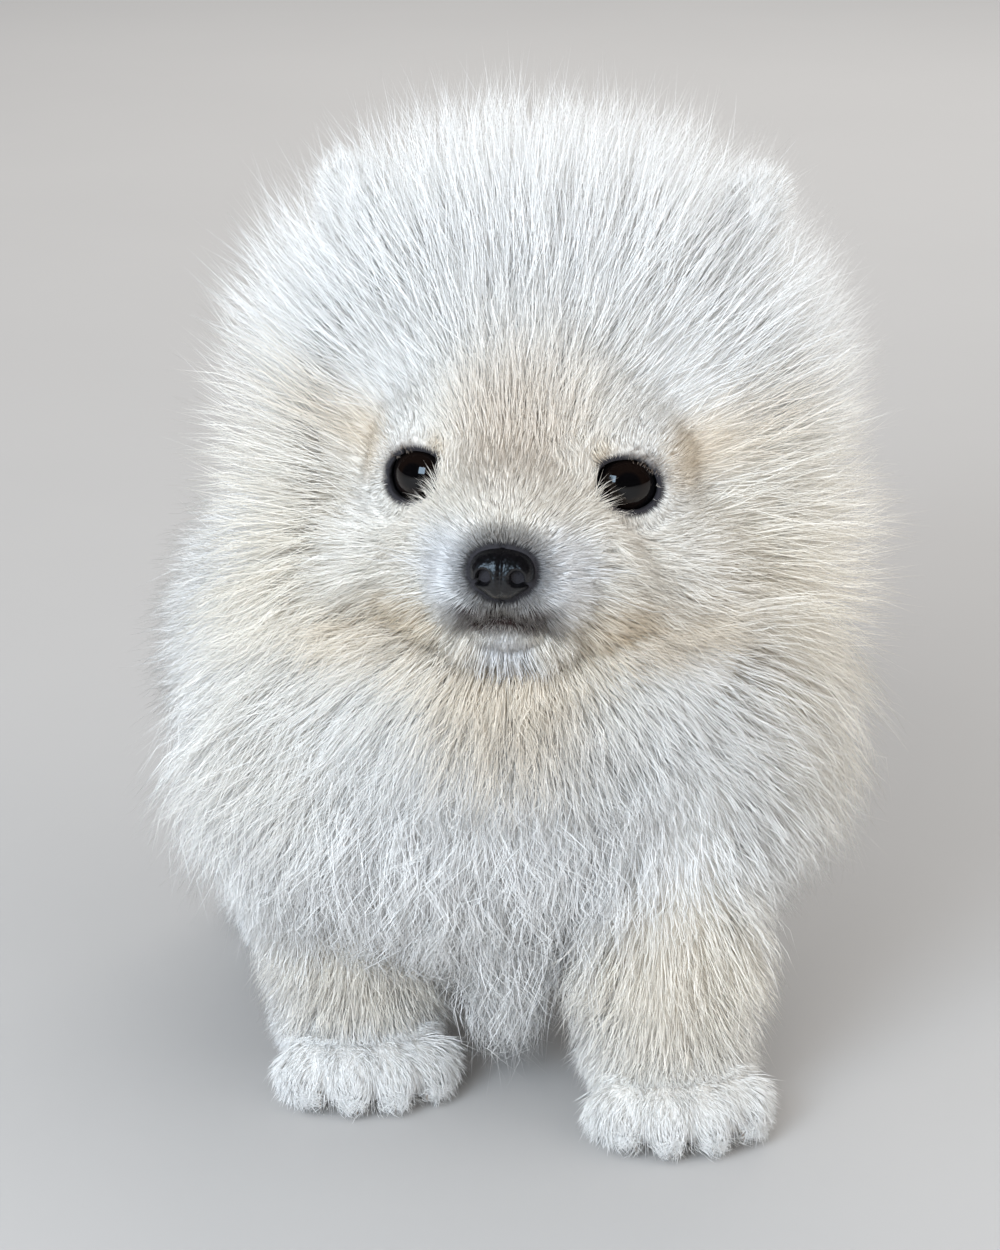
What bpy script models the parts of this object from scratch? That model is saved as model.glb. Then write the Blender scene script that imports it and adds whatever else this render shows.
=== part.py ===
"""A Pomeranian puppy standing on four feet, as a life-size still model in its full stand-off coat.

Metres, +Z up. The puppy faces -Y, so its left side is +X, and the floor is Z = 0. The head is turned to the
puppy's right and lifted a little, and the left forefoot stands a step ahead of the right one.
Sizes given in the head's own frame have +Y towards the back of the skull and +Z towards the crown.
"""

import math
import random
from functools import partial

import bmesh
import bpy
from mathutils import Matrix, Vector
from mathutils.bvhtree import BVHTree

# Left between pieces that touch, and between a lock and an ear
GAP = 0.0003
LOCK_MARGIN = 0.0006

# The head's place, its turn to the puppy's right and its lift
HEAD_CENTRE = Vector((0.0078, -0.0211, 0.1207))
HEAD_TURN = math.radians(-18.5)
HEAD_LIFT = math.radians(10.0)
HEAD_FRAME = (
    Matrix.Translation(HEAD_CENTRE)
    @ Matrix.Rotation(HEAD_TURN, 4, "Z")
    @ Matrix.Rotation(-HEAD_LIFT, 4, "X")
)
BODY_FRAME = Matrix.Identity(4)

# The flesh of the face: centre, radii
SKULL = ((0.0, 0.002, 0.004), (0.027, 0.029, 0.025))
CHEEKBONE = ((0.0170, -0.0110, -0.0100), (0.0130, 0.0140, 0.0130))
BROW = ((0.0095, -0.0190, 0.0090), (0.0100, 0.0070, 0.0065))
JAW = ((0.0, -0.0150, -0.0160), (0.0160, 0.0190, 0.0095))
BRIDGE = ((0.0, -0.0250, -0.0050), (0.0125, 0.0170, 0.0100))
MUZZLE_ROOT = ((0.0, -0.0230, -0.0110), (0.0170, 0.0150, 0.0120))
MUZZLE = ((0.0, -0.0360, -0.0115), (0.0095, 0.0100, 0.0080))
LIP_PAD = ((0.0046, -0.0350, -0.0150), (0.0066, 0.0084, 0.0062))
CHIN = ((0.0, -0.0325, -0.0205), (0.0080, 0.0080, 0.0048))

# The eyes, their lids and the bulge of flesh that carries the lids
EYE_PLACE = Vector((0.0173, -0.0178, 0.0020))
EYE_RADIUS = 0.0070
EYE_OUTWARD = math.radians(20.0)
LID_OPENING = (0.0060, 0.0050)
LID_THICK = 0.0008
LID_POINTS = 14
ORBIT_RADII = (0.0105, 0.0062, 0.0120)

# The nose leather with its nostrils, and the mouth
NOSE_PLACE = Vector((0.0, -0.0430, -0.0120))
NOSE_RADII = (0.0054, 0.0048, 0.0048)
NOSTRIL_PLACE = (0.0030, -0.0474, -0.0122)
NOSTRIL_RADII = (0.0012, 0.0030, 0.0015)
PHILTRUM_WIDTH = 0.0007
MOUTH_LINE = ((0.0, -0.0193), (0.0035, -0.0202), (0.0070, -0.0196), (0.0098, -0.0182))
LIP_RADIUS = 0.0007
MOUTH_GROOVE = 0.0004

# The ears: the middle of the root, the tip, and the cup between them
EAR_ROOT = Vector((0.0195, 0.0080, 0.0240))
EAR_TIP = Vector((0.0370, 0.0110, 0.0500))
EAR_HALF_WIDTH = 0.0105
EAR_CUP_DEPTH = 0.0060
EAR_THICK = 0.0018
EAR_BUTT_RADII = (0.0085, 0.0070, 0.0080)
EAR_OPENING = Vector((0.0, -0.0150, 0.0120))

# The dense under-coat in each node, half way from the skin to the tips: centre, radii
CROWN_CORE = ((0.0, 0.0140, 0.0075), (0.0460, 0.0330, 0.0430))
CHEEK_CORE = ((0.0, 0.0140, -0.0120), (0.0460, 0.0290, 0.0260))
THROAT_CORE = ((0.0, -0.0040, -0.0320), (0.0400, 0.0230, 0.0180))
NECK_CORE = ((0.0075, -0.0120, 0.0860), (0.0470, 0.0340, 0.0360))
CHEST_CORE = ((0.0045, -0.0180, 0.0660), (0.0500, 0.0310, 0.0350))
BIB_CORE = ((0.0, -0.0260, 0.0440), (0.0065, 0.0090, 0.0240))
BARREL_CORE = ((0.0, 0.0200, 0.0700), (0.0440, 0.0650, 0.0370))

# How far the tips of the coat reach: centre, radii, how square the outline is
CROWN_TIPS = ((-0.0040, 0.0130, 0.0110), (0.0660, 0.0470, 0.0635), 2.3)
CHEEK_TIPS = ((0.0, 0.0140, -0.0140), (0.0690, 0.0440, 0.0400), 2.2)
NECK_TIPS = ((0.0090, -0.0140, 0.0800), (0.0710, 0.0490, 0.0420), 2.2)
CHEST_TIPS = ((0.0045, -0.0180, 0.0620), (0.0720, 0.0420, 0.0400), 2.2)
BIB_TIPS = ((0.0, -0.0330, 0.0420), (0.0120, 0.0150, 0.0350), 2.2)
BARREL_TIPS = ((0.0, 0.0240, 0.0700), (0.0620, 0.0780, 0.0500), 2.2)
TAIL_TIPS = ((0.0, 0.0680, 0.1220), (0.0370, 0.0380, 0.0330), 2.2)

# Where the short hair of the face ends, and the body's half width for the lie of the coat
FACE_RADIUS = 0.0180
FACE_FRONT = -0.0200
THROAT_TOP = -0.0200
BODY_HALF_WIDTH = 0.0450

# Locks: distance between roots, width, and how far they lean from the surface to the lie of the coat
HEAD_LOCKS = {"spacing": 0.0138, "width": 0.0188, "lean": math.radians(40)}
NECK_LOCKS = {"spacing": 0.0112, "width": 0.0165, "lean": math.radians(50)}
CHEST_LOCKS = {"spacing": 0.0110, "width": 0.0150, "lean": math.radians(52)}
TORSO_LOCKS = {"spacing": 0.0175, "width": 0.0205, "lean": math.radians(50)}
TAIL_LOCKS = {"spacing": 0.0138, "width": 0.0170, "lean": math.radians(46)}
FORELEG_LOCKS = {"spacing": 0.0106, "width": 0.0120, "lean": math.radians(52)}
HINDLEG_LOCKS = {"spacing": 0.0130, "width": 0.0150, "lean": math.radians(55)}

# A node whose locks touch edge to edge is grown again from another seed
WELD = 0.00002
SEED_STEP = 100
SEED_TRIES = 12

# The shape of one lock: where its rings lie along it, how wide it is there, and how thick for its width
LOCK_RINGS = ((0.0, 0.80), (0.40, 1.00), (0.76, 0.62))
LOCK_THICKNESS = 0.30
LOCK_SINK = 0.0045
LOCK_BEND = 0.45
LOCK_TWIST = math.radians(24)
LOCK_SWAY = math.radians(14)
LONGEST_LOCK = 0.0450
SHORTEST_LOCK = 0.0060
FULL_WIDTH_LENGTH = 0.0220
LOCK_OVERHANG = 0.0045
LOCK_TRIES = ((0.0, 1.0), (-0.2, 1.0), (0.2, 0.9), (-0.4, 0.8), (0.0, 0.7), (0.3, 0.6))
ROOT_MARGIN = 0.0020
UNEVEN_TIPS = (0.90, 1.03)
CANDIDATES = 1200
GOLDEN_ANGLE = math.pi * (3 - math.sqrt(5))

# Where the forelegs stand (left, right), and the stations of a leg: offset back, height, radius of the core
FOREFOOT_PLACES = {"left": Vector((0.0290, -0.0420, 0.0)), "right": Vector((-0.0265, -0.0140, 0.0))}
FORELEG_STATIONS = ((0.004, 0.066, 0.0140), (0.002, 0.045, 0.0125), (0.001, 0.028, 0.0110), (0.0, 0.010, 0.0100))
FORELEG_TIPS = ((0.0, 0.0, 0.0340), (0.0220, 0.0200, 0.0350), 2.4)
HINDFOOT_PLACES = {"left": Vector((0.0270, 0.0560, 0.0)), "right": Vector((-0.0245, 0.0600, 0.0))}
HINDLEG_STATIONS = (
    (-0.010, 0.068, 0.0180),
    (-0.010, 0.048, 0.0165),
    (0.003, 0.034, 0.0125),
    (0.008, 0.024, 0.0105),
    (0.004, 0.008, 0.0100),
)
HINDLEG_TIPS = ((0.0010, 0.0, 0.0400), (0.0200, 0.0300, 0.0400), 2.2)
ANKLE_HEIGHT = 0.0150

# A foot: the toes as sideways offset, offset forward, radii; and the block of the foot behind them
TOES = ((-0.0103, 0.0130), (-0.0037, 0.0165), (0.0037, 0.0165), (0.0103, 0.0130))
TOE_RADII = (0.0050, 0.0082, 0.0070)
TOE_HEIGHT = 0.0052
FOOT_BLOCK = ((0.0, -0.0010, 0.0070), (0.0145, 0.0150, 0.0105))

# The tail, curled up over the rump: points of its middle line with the core's radius
TAIL_STATIONS = (
    ((0.0, 0.0660, 0.0840), 0.0130),
    ((0.0, 0.0780, 0.1020), 0.0150),
    ((0.0, 0.0780, 0.1190), 0.0165),
    ((0.0, 0.0680, 0.1300), 0.0160),
    ((0.0, 0.0560, 0.1300), 0.0110),
)

# The thin cuts between nodes: a point, and the direction of the node behind or below the cut
THROAT_CUT = (HEAD_FRAME @ Vector((0.0, -0.008, -0.026)), (HEAD_FRAME.to_3x3() @ Vector((0.0, 0.578, -0.816))))
SHOULDER_CUT = (Vector((0.0, 0.030, 0.120)), Vector((0.0, 0.616, -0.788)))
GIRTH_CUT = (Vector((0.0, -0.012, 0.0)), Vector((0.0, 1.0, 0.0)))
TAIL_CUT = (Vector((0.0, 0.080, 0.084)), Vector((0.0, 0.555, 0.832)))
PLUME_CUT = (Vector((0.0, 0.036, 0.0)), Vector((0.0, 1.0, 0.0)))
LEG_TOP_POINT = Vector((0.020, 0.0, 0.062))
LEG_TOP_SLOPE = Vector((0.669, 0.0, 0.743))
FORELEG_INSIDE = 0.0090
FORELEG_REACH = 0.0240
LEG_CEILING = 0.0560
HINDLEG_INSIDE = 0.0040
HINDLEG_FRONT = 0.0260
FAR = 0.30

# Colours: linear red, green, blue
CREAM_WHITE = (0.86, 0.82, 0.75)
WARM_WHITE = (0.84, 0.78, 0.68)
NOSE_BLACK = (0.012, 0.011, 0.012)
EYE_BLACK = (0.010, 0.008, 0.008)


def material(name, colour, roughness):
    """A plain finish with this colour, shared by every piece that asks for its name."""
    made = bpy.data.materials.get(name)
    if made:
        return made
    made = bpy.data.materials.new(name)
    made.use_nodes = True
    shader = made.node_tree.nodes["Principled BSDF"]
    shader.inputs["Base Color"].default_value = (*colour, 1.0)
    shader.inputs["Roughness"].default_value = roughness
    shader.inputs["Metallic"].default_value = 0.0
    made.diffuse_color = (*colour, 1.0)
    return made


def add_object(name, bm, finish=None):
    """An object made from bm, which is freed."""
    mesh = bpy.data.meshes.new(name)
    bm.normal_update()
    bm.to_mesh(mesh)
    bm.free()
    made = bpy.data.objects.new(name, mesh)
    PARTS.objects.link(made)
    if finish:
        mesh.materials.append(finish)
    return made


def place(shape, frame=BODY_FRAME, side=1):
    """A shape's centre mirrored to a side and put in the world."""
    x, y, z = shape[0]
    return frame @ Vector((side * x, y, z))


def add_blob(bm, shape, frame=BODY_FRAME, side=1, segments=(20, 12), grow=0.0):
    """Adds an ellipsoid, or a squarer one if the shape gives a power, to bm."""
    radii = [radius + grow for radius in shape[1]]
    power = shape[2] if len(shape) > 2 else 2.0
    turn = frame.to_3x3()
    centre = place(shape, frame, side)
    made = bmesh.ops.create_uvsphere(bm, u_segments=segments[0], v_segments=segments[1], radius=1.0)
    for vertex in made["verts"]:
        co = vertex.co
        stretch = sum(abs(value) ** power for value in co) ** (-1.0 / power)
        vertex.co = centre + turn @ Vector(value * stretch * radius for value, radius in zip(co, radii))
    return made["verts"]


def blob(name, shape, frame=BODY_FRAME, side=1, segments=(16, 10), grow=0.0):
    """One ellipsoid as its own object."""
    bm = bmesh.new()
    add_blob(bm, shape, frame, side, segments, grow)
    return add_object(name, bm)


def tube(name, stations, ring=False, around=2, along=4):
    """A closed tapering tube through (point, radius) stations, or a ring of them, as a mesh."""
    curve = bpy.data.curves.new(name, "CURVE")
    curve.dimensions = "3D"
    curve.bevel_depth = 1.0
    curve.bevel_resolution = around
    curve.resolution_u = along
    curve.use_fill_caps = not ring
    spline = curve.splines.new("BEZIER")
    spline.use_cyclic_u = ring
    spline.bezier_points.add(len(stations) - 1)
    for point, (co, radius) in zip(spline.bezier_points, stations):
        point.co = co
        point.radius = radius
        point.handle_left_type = point.handle_right_type = "AUTO"
    guide = bpy.data.objects.new(name, curve)
    PARTS.objects.link(guide)
    made = bpy.data.objects.new(name, evaluated_mesh(guide))
    made.matrix_world = guide.matrix_world
    bpy.data.objects.remove(guide)
    bpy.data.curves.remove(curve)
    made.name = name
    PARTS.objects.link(made)
    bm = bmesh.new()
    bm.from_mesh(made.data)
    bmesh.ops.remove_doubles(bm, verts=bm.verts, dist=0.00001)
    bmesh.ops.recalc_face_normals(bm, faces=bm.faces)
    bm.to_mesh(made.data)
    bm.free()
    return made


def evaluated_mesh(obj):
    """The mesh of an object with its modifiers applied."""
    bpy.context.view_layer.update()
    graph = bpy.context.evaluated_depsgraph_get()
    return bpy.data.meshes.new_from_object(obj.evaluated_get(graph))


def apply_modifiers(obj):
    """Turns the object's modifiers into its mesh."""
    made = evaluated_mesh(obj)
    obj.modifiers.clear()
    old, obj.data = obj.data, made
    bpy.data.meshes.remove(old)
    return obj


def remove(objects):
    """Deletes helper objects with their meshes."""
    for obj in list(objects):
        mesh = obj.data
        bpy.data.objects.remove(obj)
        if mesh.users == 0:
            bpy.data.meshes.remove(mesh)


def join_all(obj, pieces, solver="MANIFOLD"):
    """One union of obj with a collection of closed pieces, which are then removed."""
    held = bpy.data.collections.new("joined")
    bpy.context.scene.collection.children.link(held)
    for piece in pieces:
        for collection in list(piece.users_collection):
            collection.objects.unlink(piece)
        held.objects.link(piece)
    modifier = obj.modifiers.new("union", "BOOLEAN")
    modifier.operation = "UNION"
    modifier.solver = solver
    modifier.operand_type = "COLLECTION"
    modifier.collection = held
    apply_modifiers(obj)
    remove(held.objects)
    bpy.data.collections.remove(held)
    return obj


def carve(obj, cutters, operation="DIFFERENCE"):
    """Cuts obj with each cutter in turn, or keeps only what lies in them. The cutters are removed."""
    for cutter in cutters:
        cutter.hide_render = True
        cutter.display_type = "WIRE"
        modifier = obj.modifiers.new("cut", "BOOLEAN")
        modifier.operation = operation
        modifier.solver = "MANIFOLD"
        modifier.object = cutter
        apply_modifiers(obj)
    remove(cutters)
    return obj


def soften(obj, voxel, rounds, share):
    """Melts joined blobs into one smooth form: voxels, smoothing, then a share of the triangles."""
    remesh = obj.modifiers.new("melt", "REMESH")
    remesh.mode = "VOXEL"
    remesh.voxel_size = voxel
    smooth = obj.modifiers.new("smooth", "SMOOTH")
    smooth.factor = 0.5
    smooth.iterations = rounds
    fewer = obj.modifiers.new("fewer", "DECIMATE")
    fewer.ratio = share
    return apply_modifiers(obj)


def keep_largest(obj):
    """Keeps only the largest closed surface of the object, so no sealed hollow or loose scrap is left."""
    bm = bmesh.new()
    bm.from_mesh(obj.data)
    seen, groups = set(), []
    for start in bm.faces:
        if start in seen:
            continue
        group, edge = [], [start]
        seen.add(start)
        while edge:
            face = edge.pop()
            group.append(face)
            for link in face.edges:
                for other in link.link_faces:
                    if len(link.link_faces) == 2 and other not in seen:
                        seen.add(other)
                        edge.append(other)
        groups.append(group)
    groups.sort(key=len)
    bmesh.ops.delete(bm, geom=[face for group in groups[:-1] for face in group], context="FACES")
    bm.to_mesh(obj.data)
    bm.free()
    return obj


def weld(obj):
    """Makes one point of points that are nearer to each other than the weld distance."""
    bm = bmesh.new()
    bm.from_mesh(obj.data)
    bmesh.ops.triangulate(bm, faces=bm.faces)
    bmesh.ops.remove_doubles(bm, verts=bm.verts, dist=WELD)
    bmesh.ops.dissolve_degenerate(bm, edges=bm.edges, dist=WELD / 4)
    bmesh.ops.triangulate(bm, faces=bm.faces)
    bm.to_mesh(obj.data)
    bm.free()
    return obj


def sound(obj):
    """True when every edge of the object borders two faces and no two parts of its surface share a point."""
    bm = bmesh.new()
    bm.from_mesh(obj.data)
    good = all(len(edge.link_faces) == 2 for edge in bm.edges) and all(vertex.is_manifold for vertex in bm.verts)
    bm.free()
    return good


def first_sound(make, seed):
    """A node grown from one seed after another, until no two of its locks touch edge to edge."""
    for attempt in range(SEED_TRIES):
        node = make(seed + SEED_STEP * attempt)
        if sound(node):
            return node
        print(node.name, "is grown again")
        remove([node])
    return make(seed)


def box(name, planes):
    """A closed convex cell, cut from a large cube: everything behind each (point, outward normal) plane."""
    bm = bmesh.new()
    bmesh.ops.create_cube(bm, size=2 * FAR)
    for point, normal in planes:
        cut = bmesh.ops.bisect_plane(
            bm, geom=bm.verts[:] + bm.edges[:] + bm.faces[:], plane_co=point, plane_no=normal, clear_outer=True
        )
        rim = [part for part in cut["geom_cut"] if isinstance(part, bmesh.types.BMEdge)]
        if rim:
            bmesh.ops.contextual_create(bm, geom=rim)
    bmesh.ops.recalc_face_normals(bm, faces=bm.faces)
    return add_object(name, bm)


def behind(cut, gap=GAP / 2):
    """The half-space ahead of a cut, as a plane with its outward normal, kept back by half the gap."""
    point, normal = cut
    return point - normal.normalized() * gap, normal.normalized()


def beyond(cut, gap=GAP / 2):
    """The half-space on the other side of a cut."""
    point, normal = cut
    return point + normal.normalized() * gap, -normal.normalized()


def leg_cell(side, front, back, inside, grow=0.0):
    """The convex space that a leg keeps to itself, above the foot. Each of its planes can be grown outwards."""
    planes = [
        (Vector((side * LEG_TOP_POINT.x, 0, LEG_TOP_POINT.z)), Vector((side * LEG_TOP_SLOPE.x, 0, LEG_TOP_SLOPE.z))),
        (Vector((0, 0, LEG_CEILING)), Vector((0, 0, 1))),
        (Vector((side * inside, 0, 0)), Vector((-side, 0, 0))),
        (Vector((0, front, 0)), Vector((0, -1, 0))),
        (Vector((0, back, 0)), Vector((0, 1, 0))),
    ]
    return [(point + normal * grow, normal) for point, normal in planes]


def foreleg_cell(side, grow=0.0):
    foot = FOREFOOT_PLACES[side]
    sign = 1 if side == "left" else -1
    return leg_cell(sign, foot.y - FORELEG_REACH, foot.y + FORELEG_REACH, FORELEG_INSIDE, grow)


def hindleg_cell(side, grow=0.0):
    sign = 1 if side == "left" else -1
    return leg_cell(sign, HINDLEG_FRONT, FAR, HINDLEG_INSIDE, grow)


def all_leg_cells(grow):
    return [cell(side, grow) for cell in (foreleg_cell, hindleg_cell) for side in ("left", "right")]


def reaches(point, tips):
    """True when the point is past the tips of the coat, given as (frame, shape) forms."""
    for frame, (centre, radii, power) in tips:
        local = frame.inverted() @ point - Vector(centre)
        if sum(abs(value / radius) ** power for value, radius in zip(local, radii)) < 1.0:
            return False
    return True


def distance_to_tips(root, direction, tips, limit):
    """How far a lock can grow from its root before it passes the tips of the coat."""
    step = 0.0005
    length = 0.0
    while length < limit and not reaches(root + direction * length, tips):
        length += step
    return length


def lock_rings(root, normal, tip, width, twist):
    """The rings of a lock that is flat underneath, keeled on top and tapers to its tip."""
    length = (tip - root).length
    start = root - normal * LOCK_SINK
    control = root + normal * length * LOCK_BEND
    side = (tip - root).cross(normal).normalized()
    rings = []
    for share, breadth in LOCK_RINGS:
        centre = start * (1 - share) ** 2 + control * 2 * share * (1 - share) + tip * share**2
        along = ((control - start) * (1 - share) + (tip - control) * share).normalized()
        across = Matrix.Rotation(twist * share, 3, along) @ side
        over = across.cross(along)
        half = across * width * breadth / 2
        rings.append([centre - half, centre + half, centre + over * width * breadth * LOCK_THICKNESS])
    return rings


def rings_fit(rings, tip, cell, keep_out):
    """True when a lock stays in its own cell, give or take an overhang, and clear of each convex keep-out."""
    points = [point for ring in rings for point in ring] + [tip]
    for point in points:
        if any((point - place).dot(normal) > LOCK_OVERHANG for place, normal in cell):
            return False
    for first, second in zip(rings, rings[1:] + [[tip]]):
        for hull in keep_out:
            parted = any(
                all((point - place).dot(normal) > LOCK_MARGIN for point in first + second) for place, normal in hull
            )
            if not parted:
                return False
    return True


def slide(root, direction, length, cell):
    """A direction turned along any side of the cell that the lock's tip would leave."""
    for place, normal in cell:
        if (root + direction * length - place).dot(normal) > 0:
            direction = (direction - normal * direction.dot(normal)).normalized()
    return direction


def lock_object(rings, tip):
    """A closed lock lofted through its rings to its tip."""
    bm = bmesh.new()
    loops = [[bm.verts.new(point) for point in ring] for ring in rings]
    end = bm.verts.new(tip)
    bm.faces.new(loops[0])
    for here, there in zip(loops, loops[1:]):
        for corner in range(3):
            after = (corner + 1) % 3
            bm.faces.new((here[corner], there[corner], there[after], here[after]))
    for corner in range(3):
        bm.faces.new((loops[-1][corner], end, loops[-1][(corner + 1) % 3]))
    bmesh.ops.triangulate(bm, faces=bm.faces)
    bmesh.ops.recalc_face_normals(bm, faces=bm.faces)
    return add_object("lock", bm)


def surface_points(obj, centres, count, rng):
    """Points spread over an object's surface, found from each centre inside it, with their normals."""
    bpy.context.view_layer.update()
    tree = BVHTree.FromObject(obj, bpy.context.evaluated_depsgraph_get())
    points = []
    for centre in centres:
        for step in range(count):
            height = 1 - 2 * (step + 0.5) / count
            across = math.sqrt(1 - height * height)
            turn = step * GOLDEN_ANGLE
            direction = Vector((across * math.cos(turn), across * math.sin(turn), height))
            spot, normal = tree.ray_cast(centre, direction)[:2]
            while spot and normal.dot(direction) < 0:
                spot, normal = tree.ray_cast(spot + direction * GAP / 10, direction)[:2]
            if spot:
                points.append((spot, normal.copy()))
    rng.shuffle(points)
    return points


def unlimited(point):
    """The coat's length where only the outline limits it."""
    return LONGEST_LOCK


def inside_any(point, hulls, margin):
    """True when the point is in one of the convex hulls, or nearer to it than the margin."""
    return any(all((point - place).dot(normal) < margin for place, normal in hull) for hull in hulls)


def grow_locks(core, centres, seed, lie, tips, cell, sizes, limit=unlimited, keep_out=(), root_free=()):
    """Roots spread evenly over the core, each with a lock that bends along the lie out to the coat's tips."""
    rng = random.Random(seed)
    roots, locks = [], []
    for root, normal in surface_points(core, centres, CANDIDATES, rng):
        longest = limit(root)
        spacing = sizes["spacing"] * min(1.0, max(0.5, longest / FULL_WIDTH_LENGTH))
        if longest < SHORTEST_LOCK or any((root - other).length < spacing for other in roots):
            continue
        if any((root - place).dot(out) > -ROOT_MARGIN for place, out in cell):
            continue
        if inside_any(root, root_free, ROOT_MARGIN):
            continue
        flow = lie(root)
        flow = (flow - normal * flow.dot(normal)).normalized()
        flow = Matrix.Rotation(rng.uniform(-1, 1) * LOCK_SWAY, 3, normal) @ flow
        twist = rng.uniform(-1, 1) * LOCK_TWIST
        uneven = rng.uniform(*UNEVEN_TIPS)
        for turn, share in LOCK_TRIES:
            lean = sizes["lean"] + turn
            direction = normal * math.cos(lean) + flow * math.sin(lean)
            length = min(longest, distance_to_tips(root, direction, tips, LONGEST_LOCK))
            direction = slide(root, direction, length, cell)
            length = uneven * share * min(longest, distance_to_tips(root, direction, tips, LONGEST_LOCK))
            if length < SHORTEST_LOCK:
                continue
            tip = root + direction * length
            width = sizes["width"] * min(1.0, max(0.4, length / FULL_WIDTH_LENGTH))
            rings = lock_rings(root, normal, tip, width, twist)
            if rings_fit(rings, tip, cell, keep_out):
                roots.append(root)
                locks.append(lock_object(rings, tip))
                break
    print(core.name, len(locks), "locks")
    return locks


def hull_planes(obj):
    """The planes of a convex helper's faces, with their outward normals. The helper is removed."""
    planes = [(face.center.copy(), face.normal.copy()) for face in obj.data.polygons]
    remove([obj])
    return planes


def make_eye(side):
    """An eyeball in its socket."""
    sign = 1 if side == "left" else -1
    shape = (EYE_PLACE, (EYE_RADIUS,) * 3)
    eye = blob("eye_" + side, shape, HEAD_FRAME, sign, (14, 9))
    eye.data.materials.append(material("eye", EYE_BLACK, 0.05))
    return eye


def eye_frame(sign):
    """The eye's own frame, with +Y pointing back into the head."""
    return (
        HEAD_FRAME
        @ Matrix.Translation((sign * EYE_PLACE.x, EYE_PLACE.y, EYE_PLACE.z))
        @ Matrix.Rotation(sign * EYE_OUTWARD, 4, "Z")
    )


def lid_ring(sign):
    """The rim of both lids, an oval that lies on the eyeball, wider than it is high."""
    reach = EYE_RADIUS + GAP + LID_THICK / 2
    stations = []
    for step in range(LID_POINTS):
        angle = 2 * math.pi * step / LID_POINTS
        across, up = LID_OPENING[0] * math.cos(angle), LID_OPENING[1] * math.sin(angle)
        point = Vector((across, -math.sqrt(reach**2 - across**2 - up**2), up))
        stations.append((eye_frame(sign) @ point, LID_THICK))
    return tube("lids", stations, ring=True, around=1, along=1)


def mouth_points(skin, height):
    """The mouth's line on the skin from one corner to the other, shifted by a height."""
    half = [(x, z) for x, z in MOUTH_LINE]
    line = [(-x, z) for x, z in reversed(half[1:])] + half
    tree = BVHTree.FromObject(skin, bpy.context.evaluated_depsgraph_get())
    points = []
    for x, z in line:
        outside = HEAD_FRAME @ Vector((2.2 * x, -0.060, z + height))
        aim = HEAD_FRAME @ Vector((0.5 * x, -0.028, z + height))
        hit = tree.ray_cast(outside, (aim - outside).normalized())[0]
        points.append(hit)
    return points


def make_face():
    """The flesh of the face: skull, brows, cheeks, muzzle and chin melted together."""
    shapes = [(shape, 1) for shape in (SKULL, JAW, BRIDGE, MUZZLE_ROOT, MUZZLE, CHIN)]
    shapes += [(shape, side) for shape in (CHEEKBONE, BROW, LIP_PAD) for side in (1, -1)]
    face = blob("head", SKULL, HEAD_FRAME, segments=(32, 20))
    pieces = [blob("flesh", shape, HEAD_FRAME, side, (24, 16)) for shape, side in shapes[1:]]
    for sign in (1, -1):
        pieces.append(blob("orbit", ((0, 0, 0), ORBIT_RADII), eye_frame(sign), 1, (24, 16)))
    join_all(face, pieces)
    return soften(face, 0.0011, 6, 0.042)


def make_head(ears, seed):
    """The head with its sockets, lids, lips and nostril bed, and the locks of the crown and cheeks."""
    head = make_face()
    lips = [
        tube("lip", [(point, LIP_RADIUS) for point in mouth_points(head, shift)], around=1, along=2)
        for shift in (LIP_RADIUS, -LIP_RADIUS)
    ]
    groove = tube("groove", [(point, MOUTH_GROOVE) for point in mouth_points(head, 0.0)], around=1, along=2)
    core = [blob("under-coat", shape, HEAD_FRAME, segments=(18, 12)) for shape in (CROWN_CORE, CHEEK_CORE, THROAT_CORE)]
    join_all(head, core)
    cell = [behind(THROAT_CUT), behind(PLUME_CUT)]
    keep_out = [hull_planes(hull) for hull in (ear_hull(ear, sign) for ear, sign in zip(ears, (1, -1)))]
    tips = [(HEAD_FRAME, CROWN_TIPS), (HEAD_FRAME, CHEEK_TIPS), (BODY_FRAME, NECK_TIPS)]
    centres = [place(shape, HEAD_FRAME) for shape in (SKULL, CROWN_CORE, CHEEK_CORE, THROAT_CORE)]
    locks = grow_locks(head, centres, seed, head_lie, tips, cell, HEAD_LOCKS, head_limit, keep_out)
    join_all(head, lips + locks + [lid_ring(1), lid_ring(-1)])
    eyes = [blob("socket", (EYE_PLACE, (EYE_RADIUS + GAP,) * 3), HEAD_FRAME, sign, (14, 9)) for sign in (1, -1)]
    carve(head, [groove, *eyes, nose_blob("nose bed", GAP)])
    carve(head, [ear_hull(ear, sign, GAP, EAR_OPENING) for ear, sign in zip(ears, (1, -1))])
    carve(head, [box("cell", cell)], "INTERSECT")
    head.data.materials.append(material("coat", CREAM_WHITE, 0.8))
    return keep_largest(weld(head))


def nose_blob(name, grow=0.0):
    return blob(name, (NOSE_PLACE, NOSE_RADII, 2.5), HEAD_FRAME, 1, (14, 10), grow)


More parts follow.
